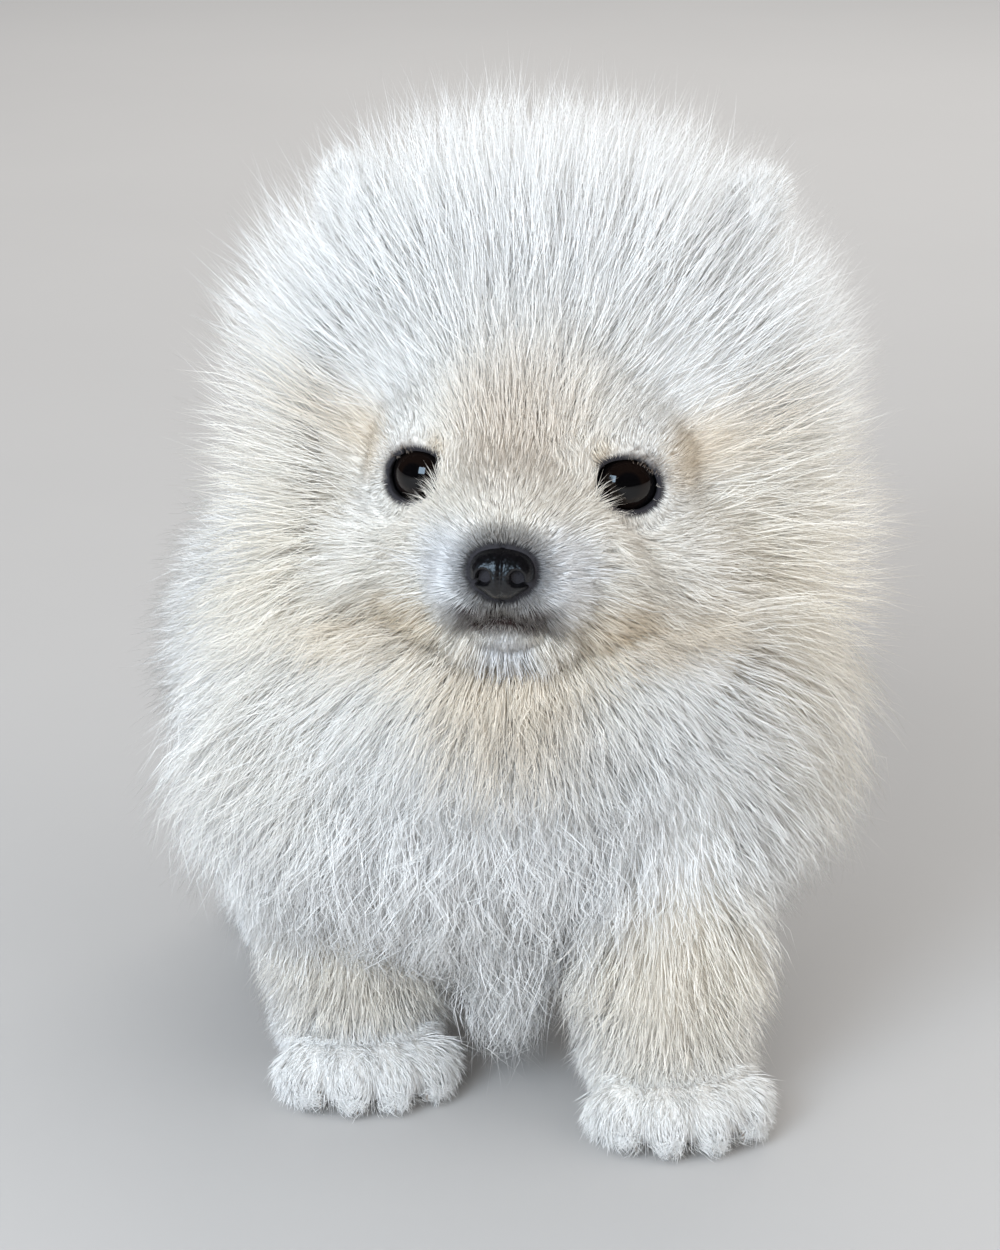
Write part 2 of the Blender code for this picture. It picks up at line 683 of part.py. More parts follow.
def make_nose():
    """The nose leather, with two nostrils and the groove between them."""
    nose = nose_blob("nose")
    cutters = []
    for sign in (1, -1):
        turn = HEAD_FRAME @ Matrix.Translation((sign * NOSTRIL_PLACE[0], *NOSTRIL_PLACE[1:]))
        turn = turn @ Matrix.Rotation(sign * math.radians(28), 4, "Z") @ Matrix.Rotation(sign * 0.5, 4, "Y")
        cutters.append(blob("nostril", ((0, 0, 0), NOSTRIL_RADII), turn, 1, (10, 6)))
        slit = turn @ Matrix.Translation((sign * 0.0011, 0, -0.0010)) @ Matrix.Rotation(sign * 0.7, 4, "Y")
        cutters.append(blob("slit", ((0, 0, 0), (0.0016, 0.0026, 0.0005)), slit, 1, (8, 6)))
    below = NOSE_PLACE + Vector((0, -NOSE_RADII[1], -NOSE_RADII[2] * 0.75))
    cutters.append(blob("philtrum", (below, (PHILTRUM_WIDTH / 2, 0.0012, 0.0034)), HEAD_FRAME, 1, (8, 6)))
    carve(nose, cutters)
    nose.data.materials.append(material("nose", NOSE_BLACK, 0.35))
    return keep_largest(nose)


def ear_axis(sign):
    """The ear's own frame: +Z from root to tip, +Y to the back of the ear."""
    root = Vector((sign * EAR_ROOT.x, EAR_ROOT.y, EAR_ROOT.z))
    tip = Vector((sign * EAR_TIP.x, EAR_TIP.y, EAR_TIP.z))
    up = (tip - root).normalized()
    back = Vector((-sign * 0.35, 1.0, 0.0))
    back = (back - up * back.dot(up)).normalized()
    turn = Matrix((back.cross(up), back, up)).transposed().to_4x4()
    return HEAD_FRAME @ Matrix.Translation(root) @ turn, (tip - root).length


def make_ear(side):
    """A small cupped ear with a rounded tip, on a butt that sits in the head."""
    sign = 1 if side == "left" else -1
    frame, length = ear_axis(sign)
    columns, rows = 4, 5
    bm = bmesh.new()
    made = bmesh.ops.create_grid(bm, x_segments=columns, y_segments=rows, size=0.5)
    for vertex in made["verts"]:
        across, along = 2 * vertex.co.x, vertex.co.y + 0.5
        width = EAR_HALF_WIDTH * (1 - 0.93 * along**1.9) ** 0.8
        depth = EAR_CUP_DEPTH * (1 - across**2) * (1 - 0.75 * along)
        vertex.co = frame @ Vector((across * width, depth - 0.35 * EAR_CUP_DEPTH, along * length))
    bmesh.ops.recalc_face_normals(bm, faces=bm.faces)
    ear = add_object("ear_" + side, bm, material("coat", CREAM_WHITE, 0.8))
    shell = ear.modifiers.new("thickness", "SOLIDIFY")
    shell.thickness = EAR_THICK
    shell.offset = 0.0
    apply_modifiers(ear)
    join_all(ear, [blob("butt", ((0, 0.001, 0.001), EAR_BUTT_RADII), frame, 1, (10, 8))])
    return keep_largest(ear)


def ear_hull(ear, sign, grow=GAP, opening=None):
    """A convex cutter that clears the ear's butt and cup, carried on by an opening in the ear's own frame."""
    frame, _ = ear_axis(sign)
    bm = bmesh.new()
    for vertex in ear.data.vertices:
        bm.verts.new(vertex.co)
        if opening:
            bm.verts.new(vertex.co + frame.to_3x3() @ opening)
    made = bmesh.ops.convex_hull(bm, input=bm.verts)
    inside = {part for part in made["geom_interior"] + made["geom_unused"] if isinstance(part, bmesh.types.BMVert)}
    bmesh.ops.delete(bm, geom=list(inside), context="VERTS")
    bmesh.ops.recalc_face_normals(bm, faces=bm.faces)
    bm.normal_update()
    for vertex in bm.verts:
        vertex.co += vertex.normal * grow * 1.6
    return add_object("ear clearance", bm)


def head_lie(point):
    """From between the eyes outwards over the crown and cheeks, and back."""
    local = HEAD_FRAME.inverted() @ point
    return HEAD_FRAME.to_3x3() @ Vector((local.x, 0.012, local.z + 0.004))


def head_limit(point):
    """The coat's length on the head: none on the muzzle, short round the eyes, full on the crown and cheeks."""
    local = HEAD_FRAME.inverted() @ point
    away = math.hypot(local.x, local.z + 0.002)
    throat = 1.6 * max(0.0, THROAT_TOP - local.z)
    return min(LONGEST_LOCK, 0.9 * (away - FACE_RADIUS) + 1.2 * max(0.0, local.y - FACE_FRONT) + throat)


def ruff_lie(point):
    """Down the front of the neck and chest, and outwards and back at the sides."""
    return Vector((0.9 * point.x / BODY_HALF_WIDTH, 0.25 + point.y / BODY_HALF_WIDTH, -0.9))


def body_lie(point):
    """Back along the body, falling at the sides and most of all at the shoulders."""
    fall = max(0.0, BODY_HALF_WIDTH - point.y) / BODY_HALF_WIDTH
    return Vector((0.5 * point.x / BODY_HALF_WIDTH, 1.0 - 0.4 * fall, -0.3 - 0.5 * fall))


def tail_lie(point):
    """Outwards from the tail's middle line and on towards its tip."""
    return Vector((point.x * 30, (point.y - 0.070) * 12 - 0.3, 0.3 + (point.z - 0.110) * 15))


def leg_lie(point):
    """Down the leg and back."""
    return Vector((0.0, 0.35, -1.0))


def under_coat(name, shapes):
    """The dense under-coat of a node, as joined ellipsoids."""
    core = blob(name, shapes[0], segments=(20, 14))
    return join_all(core, [blob("more", shape, segments=(20, 14)) for shape in shapes[1:]])


def coat_node(core, locks, cell, leg_spaces, finish):
    """Fuses the locks to their core and trims what hangs over into a neighbour's space."""
    join_all(core, locks)
    carve(core, [box("cell", cell)], "INTERSECT")
    carve(core, [box("leg space", space) for space in leg_spaces])
    core.data.materials.append(finish)
    return keep_largest(weld(core))


def make_neck(seed):
    cell = [beyond(THROAT_CUT), behind(SHOULDER_CUT), behind(PLUME_CUT)]
    core = under_coat("neck", [NECK_CORE, CHEST_CORE])
    tips = [(BODY_FRAME, NECK_TIPS), (BODY_FRAME, CHEST_TIPS), (HEAD_FRAME, CHEEK_TIPS)]
    centres = [place(shape) for shape in (NECK_CORE, CHEST_CORE)]
    locks = grow_locks(core, centres, seed, ruff_lie, tips, cell, NECK_LOCKS, root_free=all_leg_cells(GAP))
    return coat_node(core, locks, cell, all_leg_cells(GAP), material("coat", CREAM_WHITE, 0.8))


def make_chest(seed):
    cell = [beyond(SHOULDER_CUT), behind(GIRTH_CUT)]
    core = under_coat("chest", [CHEST_CORE, BARREL_CORE, BIB_CORE])
    tips = [(BODY_FRAME, shape) for shape in (CHEST_TIPS, BARREL_TIPS, BIB_TIPS)]
    centres = [place(shape) for shape in (CHEST_CORE, BIB_CORE)]
    locks = grow_locks(core, centres, seed, ruff_lie, tips, cell, CHEST_LOCKS, root_free=all_leg_cells(GAP))
    return coat_node(core, locks, cell, all_leg_cells(GAP), material("coat", CREAM_WHITE, 0.8))


def make_torso(seed):
    cell = [beyond(SHOULDER_CUT), beyond(GIRTH_CUT), behind(TAIL_CUT)]
    core = under_coat("torso", [BARREL_CORE, CHEST_CORE])
    tips = [(BODY_FRAME, BARREL_TIPS), (BODY_FRAME, CHEST_TIPS)]
    centres = [place(shape) for shape in (BARREL_CORE, CHEST_CORE)]
    locks = grow_locks(core, centres, seed, body_lie, tips, cell, TORSO_LOCKS, root_free=all_leg_cells(GAP))
    return coat_node(core, locks, cell, all_leg_cells(GAP), material("coat", CREAM_WHITE, 0.8))


def make_tail(seed):
    cell = [beyond(TAIL_CUT), beyond(PLUME_CUT)]
    core = tube("tail", [(Vector(point), radius) for point, radius in TAIL_STATIONS])
    centres = [Vector(point) for point, _ in TAIL_STATIONS]
    locks = grow_locks(core, centres, seed, tail_lie, [(BODY_FRAME, TAIL_TIPS)], cell, TAIL_LOCKS)
    return coat_node(core, locks, cell, (), material("coat", CREAM_WHITE, 0.8))


def make_leg(name, side, foot, stations, tips, cell, sizes, seed):
    """A leg from the body down to the top of the paw, with its feathering."""
    sign = 1 if side == "left" else -1
    space = cell + [(Vector((0, 0, ANKLE_HEIGHT + GAP / 2)), Vector((0, 0, -1)))]
    leg = tube(name, [(foot + Vector((0, back, height)), radius) for back, height, radius in stations])
    centre = foot + Vector((sign * tips[0][0], tips[0][1], tips[0][2]))
    centres = [foot + Vector((0, back, height)) for back, height, _ in stations]
    locks = grow_locks(leg, centres, seed, leg_lie, [(BODY_FRAME, (centre, tips[1], tips[2]))], space, sizes)
    return coat_node(leg, locks, space, (), material("leg_coat", WARM_WHITE, 0.8))


def make_paw(name, foot):
    """Four toes in front of the block of the foot, flat where they stand on the floor."""
    made = blob(name, (foot + Vector(FOOT_BLOCK[0]), FOOT_BLOCK[1]), segments=(20, 14))
    toes = []
    for across, ahead in TOES:
        toes.append(blob("toe", (foot + Vector((across, -ahead, TOE_HEIGHT)), TOE_RADII), segments=(16, 12)))
    join_all(made, toes)
    soften(made, 0.0013, 3, 0.040)
    floor = (Vector((0, 0, 0)), Vector((0, 0, -1)))
    ankle = (Vector((0, 0, ANKLE_HEIGHT - GAP / 2)), Vector((0, 0, 1)))
    carve(made, [box("cell", [floor, ankle])], "INTERSECT")
    made.data.materials.append(material("leg_coat", WARM_WHITE, 0.8))
    return keep_largest(made)


def centre_on_floor(objects):
    """Moves the whole puppy so that the middle of its outline is over the origin."""
    corners = [obj.matrix_world @ vertex.co for obj in objects for vertex in obj.data.vertices]
    middle = [(min(c[axis] for c in corners) + max(c[axis] for c in corners)) / 2 for axis in (0, 1)]
    for obj in objects:
        obj.data.transform(Matrix.Translation((-middle[0], -middle[1], 0)))
    print("moved by", -middle[0], -middle[1])


for old in list(bpy.data.objects):
    bpy.data.objects.remove(old)
PARTS = bpy.data.collections.new("pomeranian")
bpy.context.scene.collection.children.link(PARTS)

ears = [make_ear(side) for side in ("left", "right")]
nodes = [
    make_nose(),
    *ears,
    first_sound(partial(make_head, ears), 11),
    first_sound(make_neck, 12),
    first_sound(make_chest, 13),
    first_sound(make_torso, 14),
    first_sound(make_tail, 15),
]
for number, side in enumerate(("left", "right")):
    fore = (side, FOREFOOT_PLACES[side], FORELEG_STATIONS, FORELEG_TIPS, foreleg_cell(side), FORELEG_LOCKS)
    hind = (side, HINDFOOT_PLACES[side], HINDLEG_STATIONS, HINDLEG_TIPS, hindleg_cell(side), HINDLEG_LOCKS)
    nodes += [
        make_eye(side),
        first_sound(partial(make_leg, "foreleg_" + side, *fore), 20 + number),
        first_sound(partial(make_leg, "hindleg_" + side, *hind), 30 + number),
        make_paw("forepaw_" + side, FOREFOOT_PLACES[side]),
        make_paw("hindpaw_" + side, HINDFOOT_PLACES[side]),
    ]
centre_on_floor(nodes)
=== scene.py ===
"""A cream-white pomeranian puppy: its skin, coat, eyes, nose and claws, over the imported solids."""
import math

import bmesh
import bpy
import numpy as np
from mathutils import Matrix, Vector
from mathutils.kdtree import KDTree
from numpy.linalg import norm


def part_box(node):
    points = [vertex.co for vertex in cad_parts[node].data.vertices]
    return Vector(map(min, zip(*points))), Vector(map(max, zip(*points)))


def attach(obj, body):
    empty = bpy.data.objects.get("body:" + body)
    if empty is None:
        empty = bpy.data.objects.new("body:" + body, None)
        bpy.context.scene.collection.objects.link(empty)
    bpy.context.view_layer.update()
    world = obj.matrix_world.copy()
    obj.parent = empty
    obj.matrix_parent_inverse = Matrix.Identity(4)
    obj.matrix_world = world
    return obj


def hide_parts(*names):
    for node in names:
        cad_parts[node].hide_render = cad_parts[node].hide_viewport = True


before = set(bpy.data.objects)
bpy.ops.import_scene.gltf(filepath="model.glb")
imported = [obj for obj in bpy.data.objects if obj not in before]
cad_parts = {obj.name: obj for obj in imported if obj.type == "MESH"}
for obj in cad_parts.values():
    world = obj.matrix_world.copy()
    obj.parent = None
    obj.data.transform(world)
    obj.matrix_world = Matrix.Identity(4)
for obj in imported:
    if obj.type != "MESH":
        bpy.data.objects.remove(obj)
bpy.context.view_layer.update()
rng = np.random.default_rng(7)

# The head's place, and the shapes of its flesh in its own axes: +Y back, +Z to the crown.
HEAD_CENTRE = np.array((0.0078, -0.0211, 0.1207))
HEAD_TURN = math.radians(-18.5)
HEAD_LIFT = math.radians(10.0)
HEAD_AXES = np.array(Matrix.Rotation(HEAD_TURN, 3, "Z") @ Matrix.Rotation(-HEAD_LIFT, 3, "X"))
SKULL = ((0.0, 0.002, 0.004), (0.027, 0.029, 0.025))
CHEEKBONE = ((0.0170, -0.0110, -0.0100), (0.0130, 0.0140, 0.0130))
BROW = ((0.0095, -0.0190, 0.0090), (0.0100, 0.0070, 0.0065))
JAW = ((0.0, -0.0150, -0.0160), (0.0160, 0.0190, 0.0095))
BRIDGE = ((0.0, -0.0250, -0.0050), (0.0125, 0.0170, 0.0100))
MUZZLE_ROOT = ((0.0, -0.0230, -0.0110), (0.0170, 0.0150, 0.0120))
MUZZLE = ((0.0, -0.0360, -0.0115), (0.0095, 0.0100, 0.0080))
LIP_PAD = ((0.0046, -0.0350, -0.0150), (0.0066, 0.0084, 0.0062))
CHIN = ((0.0, -0.0325, -0.0205), (0.0080, 0.0080, 0.0048))
CROWN_CORE = ((0.0, 0.0140, 0.0075), (0.0440, 0.0315, 0.0410))
CHEEK_CORE = ((0.0, 0.0140, -0.0120), (0.0440, 0.0275, 0.0245))
THROAT_CORE = ((0.0, -0.0040, -0.0320), (0.0385, 0.0215, 0.0165))

# The forms that join the skull, in order, with the widths of their fillets.
HEAD_FILLETS = (
    (CHEEKBONE, 0.006), (BROW, 0.004), (JAW, 0.005), (MUZZLE_ROOT, 0.008), (BRIDGE, 0.009),
    (MUZZLE, 0.004), (LIP_PAD, 0.0015), (CHIN, 0.0015),
    (CROWN_CORE, 0.006), (CHEEK_CORE, 0.006), (THROAT_CORE, 0.006),
)

EYE_PLACE = np.array((0.0173, -0.0178, 0.0020))
EYE_RADIUS = 0.0070
EYE_OUTWARD = math.radians(20.0)
LID_OPENING = (0.0060, 0.0045)
LID_THICK = 0.0008
ORBIT_RADII = (0.0105, 0.0062, 0.0120)

NOSE_PLACE = np.array((0.0, -0.0430, -0.0120))
NOSE_RADII = np.array((0.0053, 0.0047, 0.0047))
NOSTRIL = ((0.0030, -0.0470, -0.0124), (0.0013, 0.0034, 0.0014))
NOSTRIL_SLIT = ((0.0035, -0.0466, -0.0130), (0.0058, -0.0436, -0.0137), 0.0006)
MOUTH_X = (0.0, 0.0035, 0.0070, 0.0098)
MOUTH_Z = (-0.0200, -0.0201, -0.0190, -0.0168)

EAR_ROOT = np.array((0.0205, 0.0080, 0.0260))
EAR_TIP = np.array((0.0400, 0.0095, 0.0545))
EAR_HALF_WIDTH = 0.0115
EAR_OPENING = np.array((0.0, -0.0150, 0.0120))

# The body's flesh, in the model's axes: the dog looks along -Y, and +X is its left.
NECK_CORE = ((0.0075, -0.0120, 0.0860), (0.0455, 0.0325, 0.0345))
CHEST_CORE = ((0.0045, -0.0180, 0.0660), (0.0485, 0.0295, 0.0335))
BIB_CORE = ((0.0, -0.0260, 0.0450), (0.0055, 0.0075, 0.0220))
BARREL_CORE = ((0.0, 0.0200, 0.0700), (0.0425, 0.0635, 0.0355))
TAIL_STATIONS = (
    (0.0, 0.0660, 0.0840, 0.0120),
    (0.0, 0.0780, 0.1020, 0.0140),
    (0.0, 0.0780, 0.1190, 0.0150),
    (0.0, 0.0680, 0.1300, 0.0145),
    (0.0, 0.0560, 0.1300, 0.0100),
)
FORE_FEET = ((0.0290, -0.0420), (-0.0265, -0.0140))
HIND_FEET = ((0.0270, 0.0560), (-0.0245, 0.0600))
FORELEG_STATIONS = (
    (0.004, 0.066, 0.0140),
    (0.002, 0.045, 0.0125),
    (0.001, 0.028, 0.0110),
    (0.0, 0.010, 0.0100),
)
HINDLEG_STATIONS = (
    (-0.010, 0.068, 0.0180),
    (-0.010, 0.048, 0.0165),
    (0.003, 0.034, 0.0125),
    (0.008, 0.024, 0.0105),
    (0.004, 0.008, 0.0100),
)
TOES = ((-0.0103, 0.0125), (-0.0037, 0.0160), (0.0037, 0.0160), (0.0103, 0.0125))
TOE_SHAPE = (0.0056, (0.0045, 0.0078, 0.0060))
FOOT_BLOCK = ((0.0, -0.0010, 0.0070), (0.0135, 0.0140, 0.0100))

# How far the coat reaches: centre, radii and squareness.
CROWN_TIPS = ((-0.0040, 0.0130, 0.0110), (0.0660, 0.0470, 0.0635), 2.3)
CHEEK_TIPS = ((0.0, 0.0140, -0.0140), (0.0690, 0.0440, 0.0400), 2.2)
NECK_TIPS = ((0.0090, -0.0140, 0.0800), (0.0710, 0.0490, 0.0420), 2.2)
CHEST_TIPS = ((0.0045, -0.0180, 0.0620), (0.0720, 0.0420, 0.0400), 2.2)
BIB_TIPS = ((0.0, -0.0330, 0.0420), (0.0120, 0.0150, 0.0350), 2.2)
BARREL_TIPS = ((0.0, 0.0240, 0.0700), (0.0620, 0.0780, 0.0500), 2.2)
TAIL_TIPS = ((0.0, 0.0680, 0.1220), (0.0370, 0.0380, 0.0330), 2.2)
FORELEG_TIPS = ((0.0, 0.0, 0.0340), (0.0220, 0.0200, 0.0350), 2.4)
HINDLEG_TIPS = ((0.0010, 0.0, 0.0400), (0.0200, 0.0300, 0.0400), 2.2)
HALF_WIDTH = 0.0450

REGIONS = ("head", "ruff", "barrel", "tail", "leg", "paw")
FAR = 1.0


def to_head(p):
    """Points of the model in the head's axes."""
    return (p - HEAD_CENTRE) @ HEAD_AXES


def from_head(p):
    """Points in the head's axes as points of the model."""
    return np.asarray(p) @ HEAD_AXES.T + HEAD_CENTRE


def mirrored(p):
    """The points with their left and right sides folded together."""
    return np.column_stack((np.abs(p[:, 0]), p[:, 1], p[:, 2]))


def span(p, place):
    """How far points lie from a place."""
    return norm(p - np.array(place), axis=1)


def ellipsoid(p, shape, shift=(0.0, 0.0, 0.0)):
    """The distance to an ellipsoid, negative inside."""
    radii = np.array(shape[1])
    q = (p - np.array(shape[0]) - np.array(shift)) / radii
    outer = norm(q, axis=1)
    return outer * (outer - 1) / np.maximum(norm(q / radii, axis=1), 1e-9)


def rod(p, start, end, thick, thin=None):
    """The distance to a round rod whose radius goes from thick to thin."""
    start, end = np.array(start), np.array(end)
    along = np.clip((p - start) @ (end - start) / ((end - start) @ (end - start)), 0, 1)
    middle = start + along[:, None] * (end - start)
    return norm(p - middle, axis=1) - (thick + ((thin or thick) - thick) * along)


def melt(first, second, width):
    """The union of two distances, with a soft fillet of that width."""
    share = np.clip(0.5 + 0.5 * (second - first) / width, 0, 1)
    return second * (1 - share) + first * share - width * share * (1 - share)


def cut(first, second, width):
    """The first distance without the second, with a soft edge."""
    return -melt(-first, second, width)


def smooth(value, low, high):
    """A soft step from nought at low to one at high."""
    share = np.clip((value - low) / (high - low), 0, 1)
    return share * share * (3 - 2 * share)


def eye_axes():
    """The left eye's axes in the head: across, out of the eye, up."""
    turn = np.array(Matrix.Rotation(EYE_OUTWARD, 3, "Z"))
    return turn @ np.array((1.0, 0.0, 0.0)), turn @ np.array((0.0, -1.0, 0.0)), np.array((0.0, 0.0, 1.0))


def eye_window(q):
    """Below nought where a folded point in the head's axes is in front of the lids' opening."""
    across, out, up = eye_axes()
    offset = q - EYE_PLACE
    x = offset @ across
    z = offset @ up + 0.10 * x
    hole = np.hypot(x / LID_OPENING[0], z / LID_OPENING[1])
    return np.maximum((hole - 1) * LID_OPENING[1], -(offset @ out))


def mouth_height(q):
    """The height of the mouth's line at folded points in the head's axes."""
    return np.interp(q[:, 0], MOUTH_X, MOUTH_Z)


def face_distance(h):
    """The distance to the face and the cores round it, for points in the head's axes."""
    q = mirrored(h)
    d = ellipsoid(q, SKULL)
    for shape, width in HEAD_FILLETS:
        d = melt(d, ellipsoid(q, shape), width)
    return d


def ear_distance(q):
    """The distance to the ear: a thin leaf, hollow in front, for folded points in the head's axes."""
    axis = (EAR_TIP - EAR_ROOT) / norm(EAR_TIP - EAR_ROOT)
    facing = EAR_OPENING - (EAR_OPENING @ axis) * axis
    facing = facing / norm(facing)
    across = np.cross(axis, facing)
    offset = q - EAR_ROOT
    length = norm(EAR_TIP - EAR_ROOT)
    local = np.column_stack((offset @ across, offset @ facing, offset @ axis))
    taper = 1 - 0.55 * np.clip(local[:, 2] / length, 0, 1) ** 1.5
    local[:, 0] = local[:, 0] / taper
    leaf = ellipsoid(local, ((0, 0, 0.42 * length), (EAR_HALF_WIDTH, 0.0050, 0.60 * length)))
    cup = ellipsoid(local, ((0, 0.0052, 0.40 * length), (EAR_HALF_WIDTH * 0.82, 0.0062, 0.50 * length)))
    return cut(leaf, cup, 0.001)


def head_distance(p):
    """The distance to the head's skin: face, lids, lips, ears."""
    h = to_head(p)
    q = mirrored(h)
    across, out, up = eye_axes()
    d = face_distance(h)
    offset = q - EYE_PLACE
    local = np.column_stack((offset @ across, offset @ out, offset @ up))
    d = melt(d, ellipsoid(local, ((0, 0, 0), ORBIT_RADII)), 0.004)
    ball = norm(offset, axis=1)
    d = melt(d, ball - (EYE_RADIUS + LID_THICK), 0.0015)
    window = eye_window(q)
    d = cut(d, window, 0.0006)
    d = np.maximum(d, EYE_RADIUS + 0.0001 - ball)
    line = mouth_height(q)
    front = smooth(-q[:, 1], 0.026, 0.034) * (1 - smooth(q[:, 0], 0.0045, 0.0080))
    d = d + 0.0010 * np.exp(-(((q[:, 2] - line) / 0.0006) ** 2)) * front
    split = smooth(q[:, 2], -0.0205, -0.0190) * smooth(-q[:, 1], 0.036, 0.040)
    d = d + 0.0006 * np.exp(-((q[:, 0] / 0.0005) ** 2)) * split
    return melt(d, ear_distance(q), 0.002)


def chain(p, stations, width):
    """The distance to a chain of tapering rods; each station is a place and a radius."""
    d = None
    for one, two in zip(stations, stations[1:]):
        piece = rod(p, one[:3], two[:3], one[3], two[3])
        d = piece if d is None else melt(d, piece, width)
    return d


def leg_distance(p, foot, stations):
    """The distance to a leg."""
    return chain(p, [(foot[0], foot[1] + back, high, radius) for back, high, radius in stations], 0.003)


def paw_distance(p, foot):
    """The distance to a paw: a block with four toes."""
    place = (foot[0], foot[1], 0.0)
    d = ellipsoid(p, FOOT_BLOCK, place)
    for across, ahead in TOES:
        shape = ((across, -ahead, TOE_SHAPE[0]), TOE_SHAPE[1])
        d = melt(d, ellipsoid(p, shape, place), 0.0034)
    return d


def ruff_distance(p):
    """The distance to the neck, chest and bib."""
    d = melt(ellipsoid(p, NECK_CORE), ellipsoid(p, CHEST_CORE), 0.010)
    return melt(d, ellipsoid(p, BIB_CORE), 0.008)


def tail_distance(p):
    """The distance to the tail."""
    return chain(p, TAIL_STATIONS, 0.004)


def where(near, distance, p):
    """The distance where it is wanted, and far away elsewhere."""
    out = np.full(len(p), FAR)
    if near.any():
        out[near] = distance(p[near])
    return out


def region_distances(p):
    """The distance to each region's flesh, as columns in the order of REGIONS."""
    y, z = p[:, 1], p[:, 2]
    head = where(z > 0.055, head_distance, p)
    ruff = where(y < 0.060, ruff_distance, p)
    barrel = ellipsoid(p, BARREL_CORE)
    tail = where((y > 0.030) & (z > 0.055), tail_distance, p)
    legs = np.full(len(p), FAR)
    paws = np.full(len(p), FAR)
    for feet, stations in ((FORE_FEET, FORELEG_STATIONS), (HIND_FEET, HINDLEG_STATIONS)):
        for foot in feet:
            near = (np.abs(p[:, 0] - foot[0]) < 0.035) & (np.abs(y - foot[1]) < 0.045)
            legs = np.minimum(legs, where(near & (z < 0.105), lambda q: leg_distance(q, foot, stations), p))
            paws = np.minimum(paws, where(near & (z < 0.035), lambda q: paw_distance(q, foot), p))
    return np.column_stack((head, ruff, barrel, tail, legs, paws))


def skin_distance(p):
    """The distance to the whole skin, which stands flat on the floor."""
    head, ruff, barrel, tail, legs, paws = region_distances(p).T
    d = melt(ruff, barrel, 0.014)
    d = melt(d, legs, 0.008)
    d = melt(d, paws, 0.004)
    d = melt(d, tail, 0.008)
    d = melt(d, head, 0.004)
    return np.maximum(d, 0.0002 - p[:, 2])


def nose_body(q):
    """The distance to the nose pad without its nostrils, for folded points in the head's axes."""
    offset = q - NOSE_PLACE
    narrow = 1 - 0.26 * smooth(-offset[:, 2], -0.001, 0.0050)
    scaled = offset / NOSE_RADII
    scaled[:, 0] /= narrow
    size = (np.abs(scaled) ** 2.5).sum(1) ** (1 / 2.5)
    d = (size - 1) * 0.0048
    wing = ((0.0035, -0.0440, -0.0118), (0.0022, 0.0034, 0.0030))
    return melt(d, ellipsoid(q, wing), 0.0012)


def nose_distance(p):
    """The distance to the nose pad with its nostrils."""
    q = mirrored(to_head(p))
    d = nose_body(q)
    d = cut(d, ellipsoid(q, NOSTRIL), 0.0006)
    d = cut(d, rod(q, *NOSTRIL_SLIT), 0.0005)
    groove = np.exp(-((q[:, 0] / 0.0004) ** 2)) * smooth(-q[:, 1], 0.0440, 0.0465)
    return d + 0.0004 * groove


def gradient(distance, p, step=0.0002):
    """The direction in which the distance grows, as unit vectors."""
    out = np.zeros_like(p)
    for corner in ((1, -1, -1), (-1, -1, 1), (-1, 1, -1), (1, 1, 1)):
        out += np.array(corner) * distance(p + step * np.array(corner))[:, None]
    return out / np.maximum(norm(out, axis=1, keepdims=True), 1e-12)


def settle(distance, p, rounds=2):
    """The points moved onto the surface."""
    for _ in range(rounds):
        p = p - distance(p)[:, None] * gradient(distance, p)
    return p


def sampled(distance, low, count, step):
    """The distance on a grid, worked out in full only near the surface and coarsely elsewhere."""
    coarse = 3
    rough = (count + coarse - 1) // coarse + 1
    lines = [low[i] + coarse * step * np.arange(rough[i]) for i in range(3)]
    knots = distance(np.stack(np.meshgrid(*lines, indexing="ij"), -1).reshape(-1, 3)).reshape(rough)
    values = knots
    for axis in range(3):
        place = np.arange(count[axis]) / coarse
        cell = place.astype(int)
        share = (place - cell).reshape([-1 if i == axis else 1 for i in range(3)])
        values = np.take(values, cell, axis) * (1 - share) + np.take(values, cell + 1, axis) * share
    near = np.argwhere(np.abs(values) < 1.8 * coarse * step)
    values[tuple(near.T)] = distance(low + step * near)
    return values


def surface_nets(distance, low, high, step):
    """The vertices and quads of the closed surface where distance is nought."""
    low, high = np.array(low), np.array(high)
    count = np.ceil((high - low) / step).astype(int) + 1
    values = sampled(distance, low, count, step)
    cells = count - 1
    total = np.zeros((*cells, 3))
    number = np.zeros(cells)

    def corner(offset):
        return tuple(slice(o, o + c) for o, c in zip(offset, cells))

    for axis in range(3):
        for a in (0, 1):
            for b in (0, 1):
                start = np.insert((a, b), axis, 0)
                end = np.insert((a, b), axis, 1)
                v0, v1 = values[corner(start)], values[corner(end)]
                crosses = (v0 < 0) != (v1 < 0)
                share = np.where(crosses, v0 / np.where(crosses, v0 - v1, 1), 0)
                point = start + share[..., None] * (end - start)
                total += np.where(crosses[..., None], point, 0)
                number += crosses
    active = number > 0
    index = np.full(cells, -1)
    index[active] = np.arange(active.sum())
    places = np.argwhere(active) + total[active] / number[active][:, None]
    quads = []
    for axis in range(3):
        b, c = (axis + 1) % 3, (axis + 2) % 3
        one, right, up = np.eye(3, dtype=int)[[axis, b, c]]
        low_side = values[tuple(slice(0, n - o) for n, o in zip(count, one))] < 0
        high_side = values[tuple(slice(o, n) for n, o in zip(count, one))] < 0
        edges = np.argwhere(low_side != high_side)
        across = edges[:, [b, c]]
        edges = edges[((across > 0) & (across < cells[[b, c]])).all(1)]
        ring = np.column_stack([index[tuple((edges - s).T)] for s in (0 * right, right, right + up, up)])
        outward = low_side[tuple(edges.T)]
        quads.append(np.where(outward[:, None], ring, ring[:, ::-1]))
    return low + step * places, np.concatenate(quads)


def placed(name, data):
    """An object of the scene that shows this data."""
    obj = bpy.data.objects.new(name, data)
    bpy.context.scene.collection.objects.link(obj)
    return obj


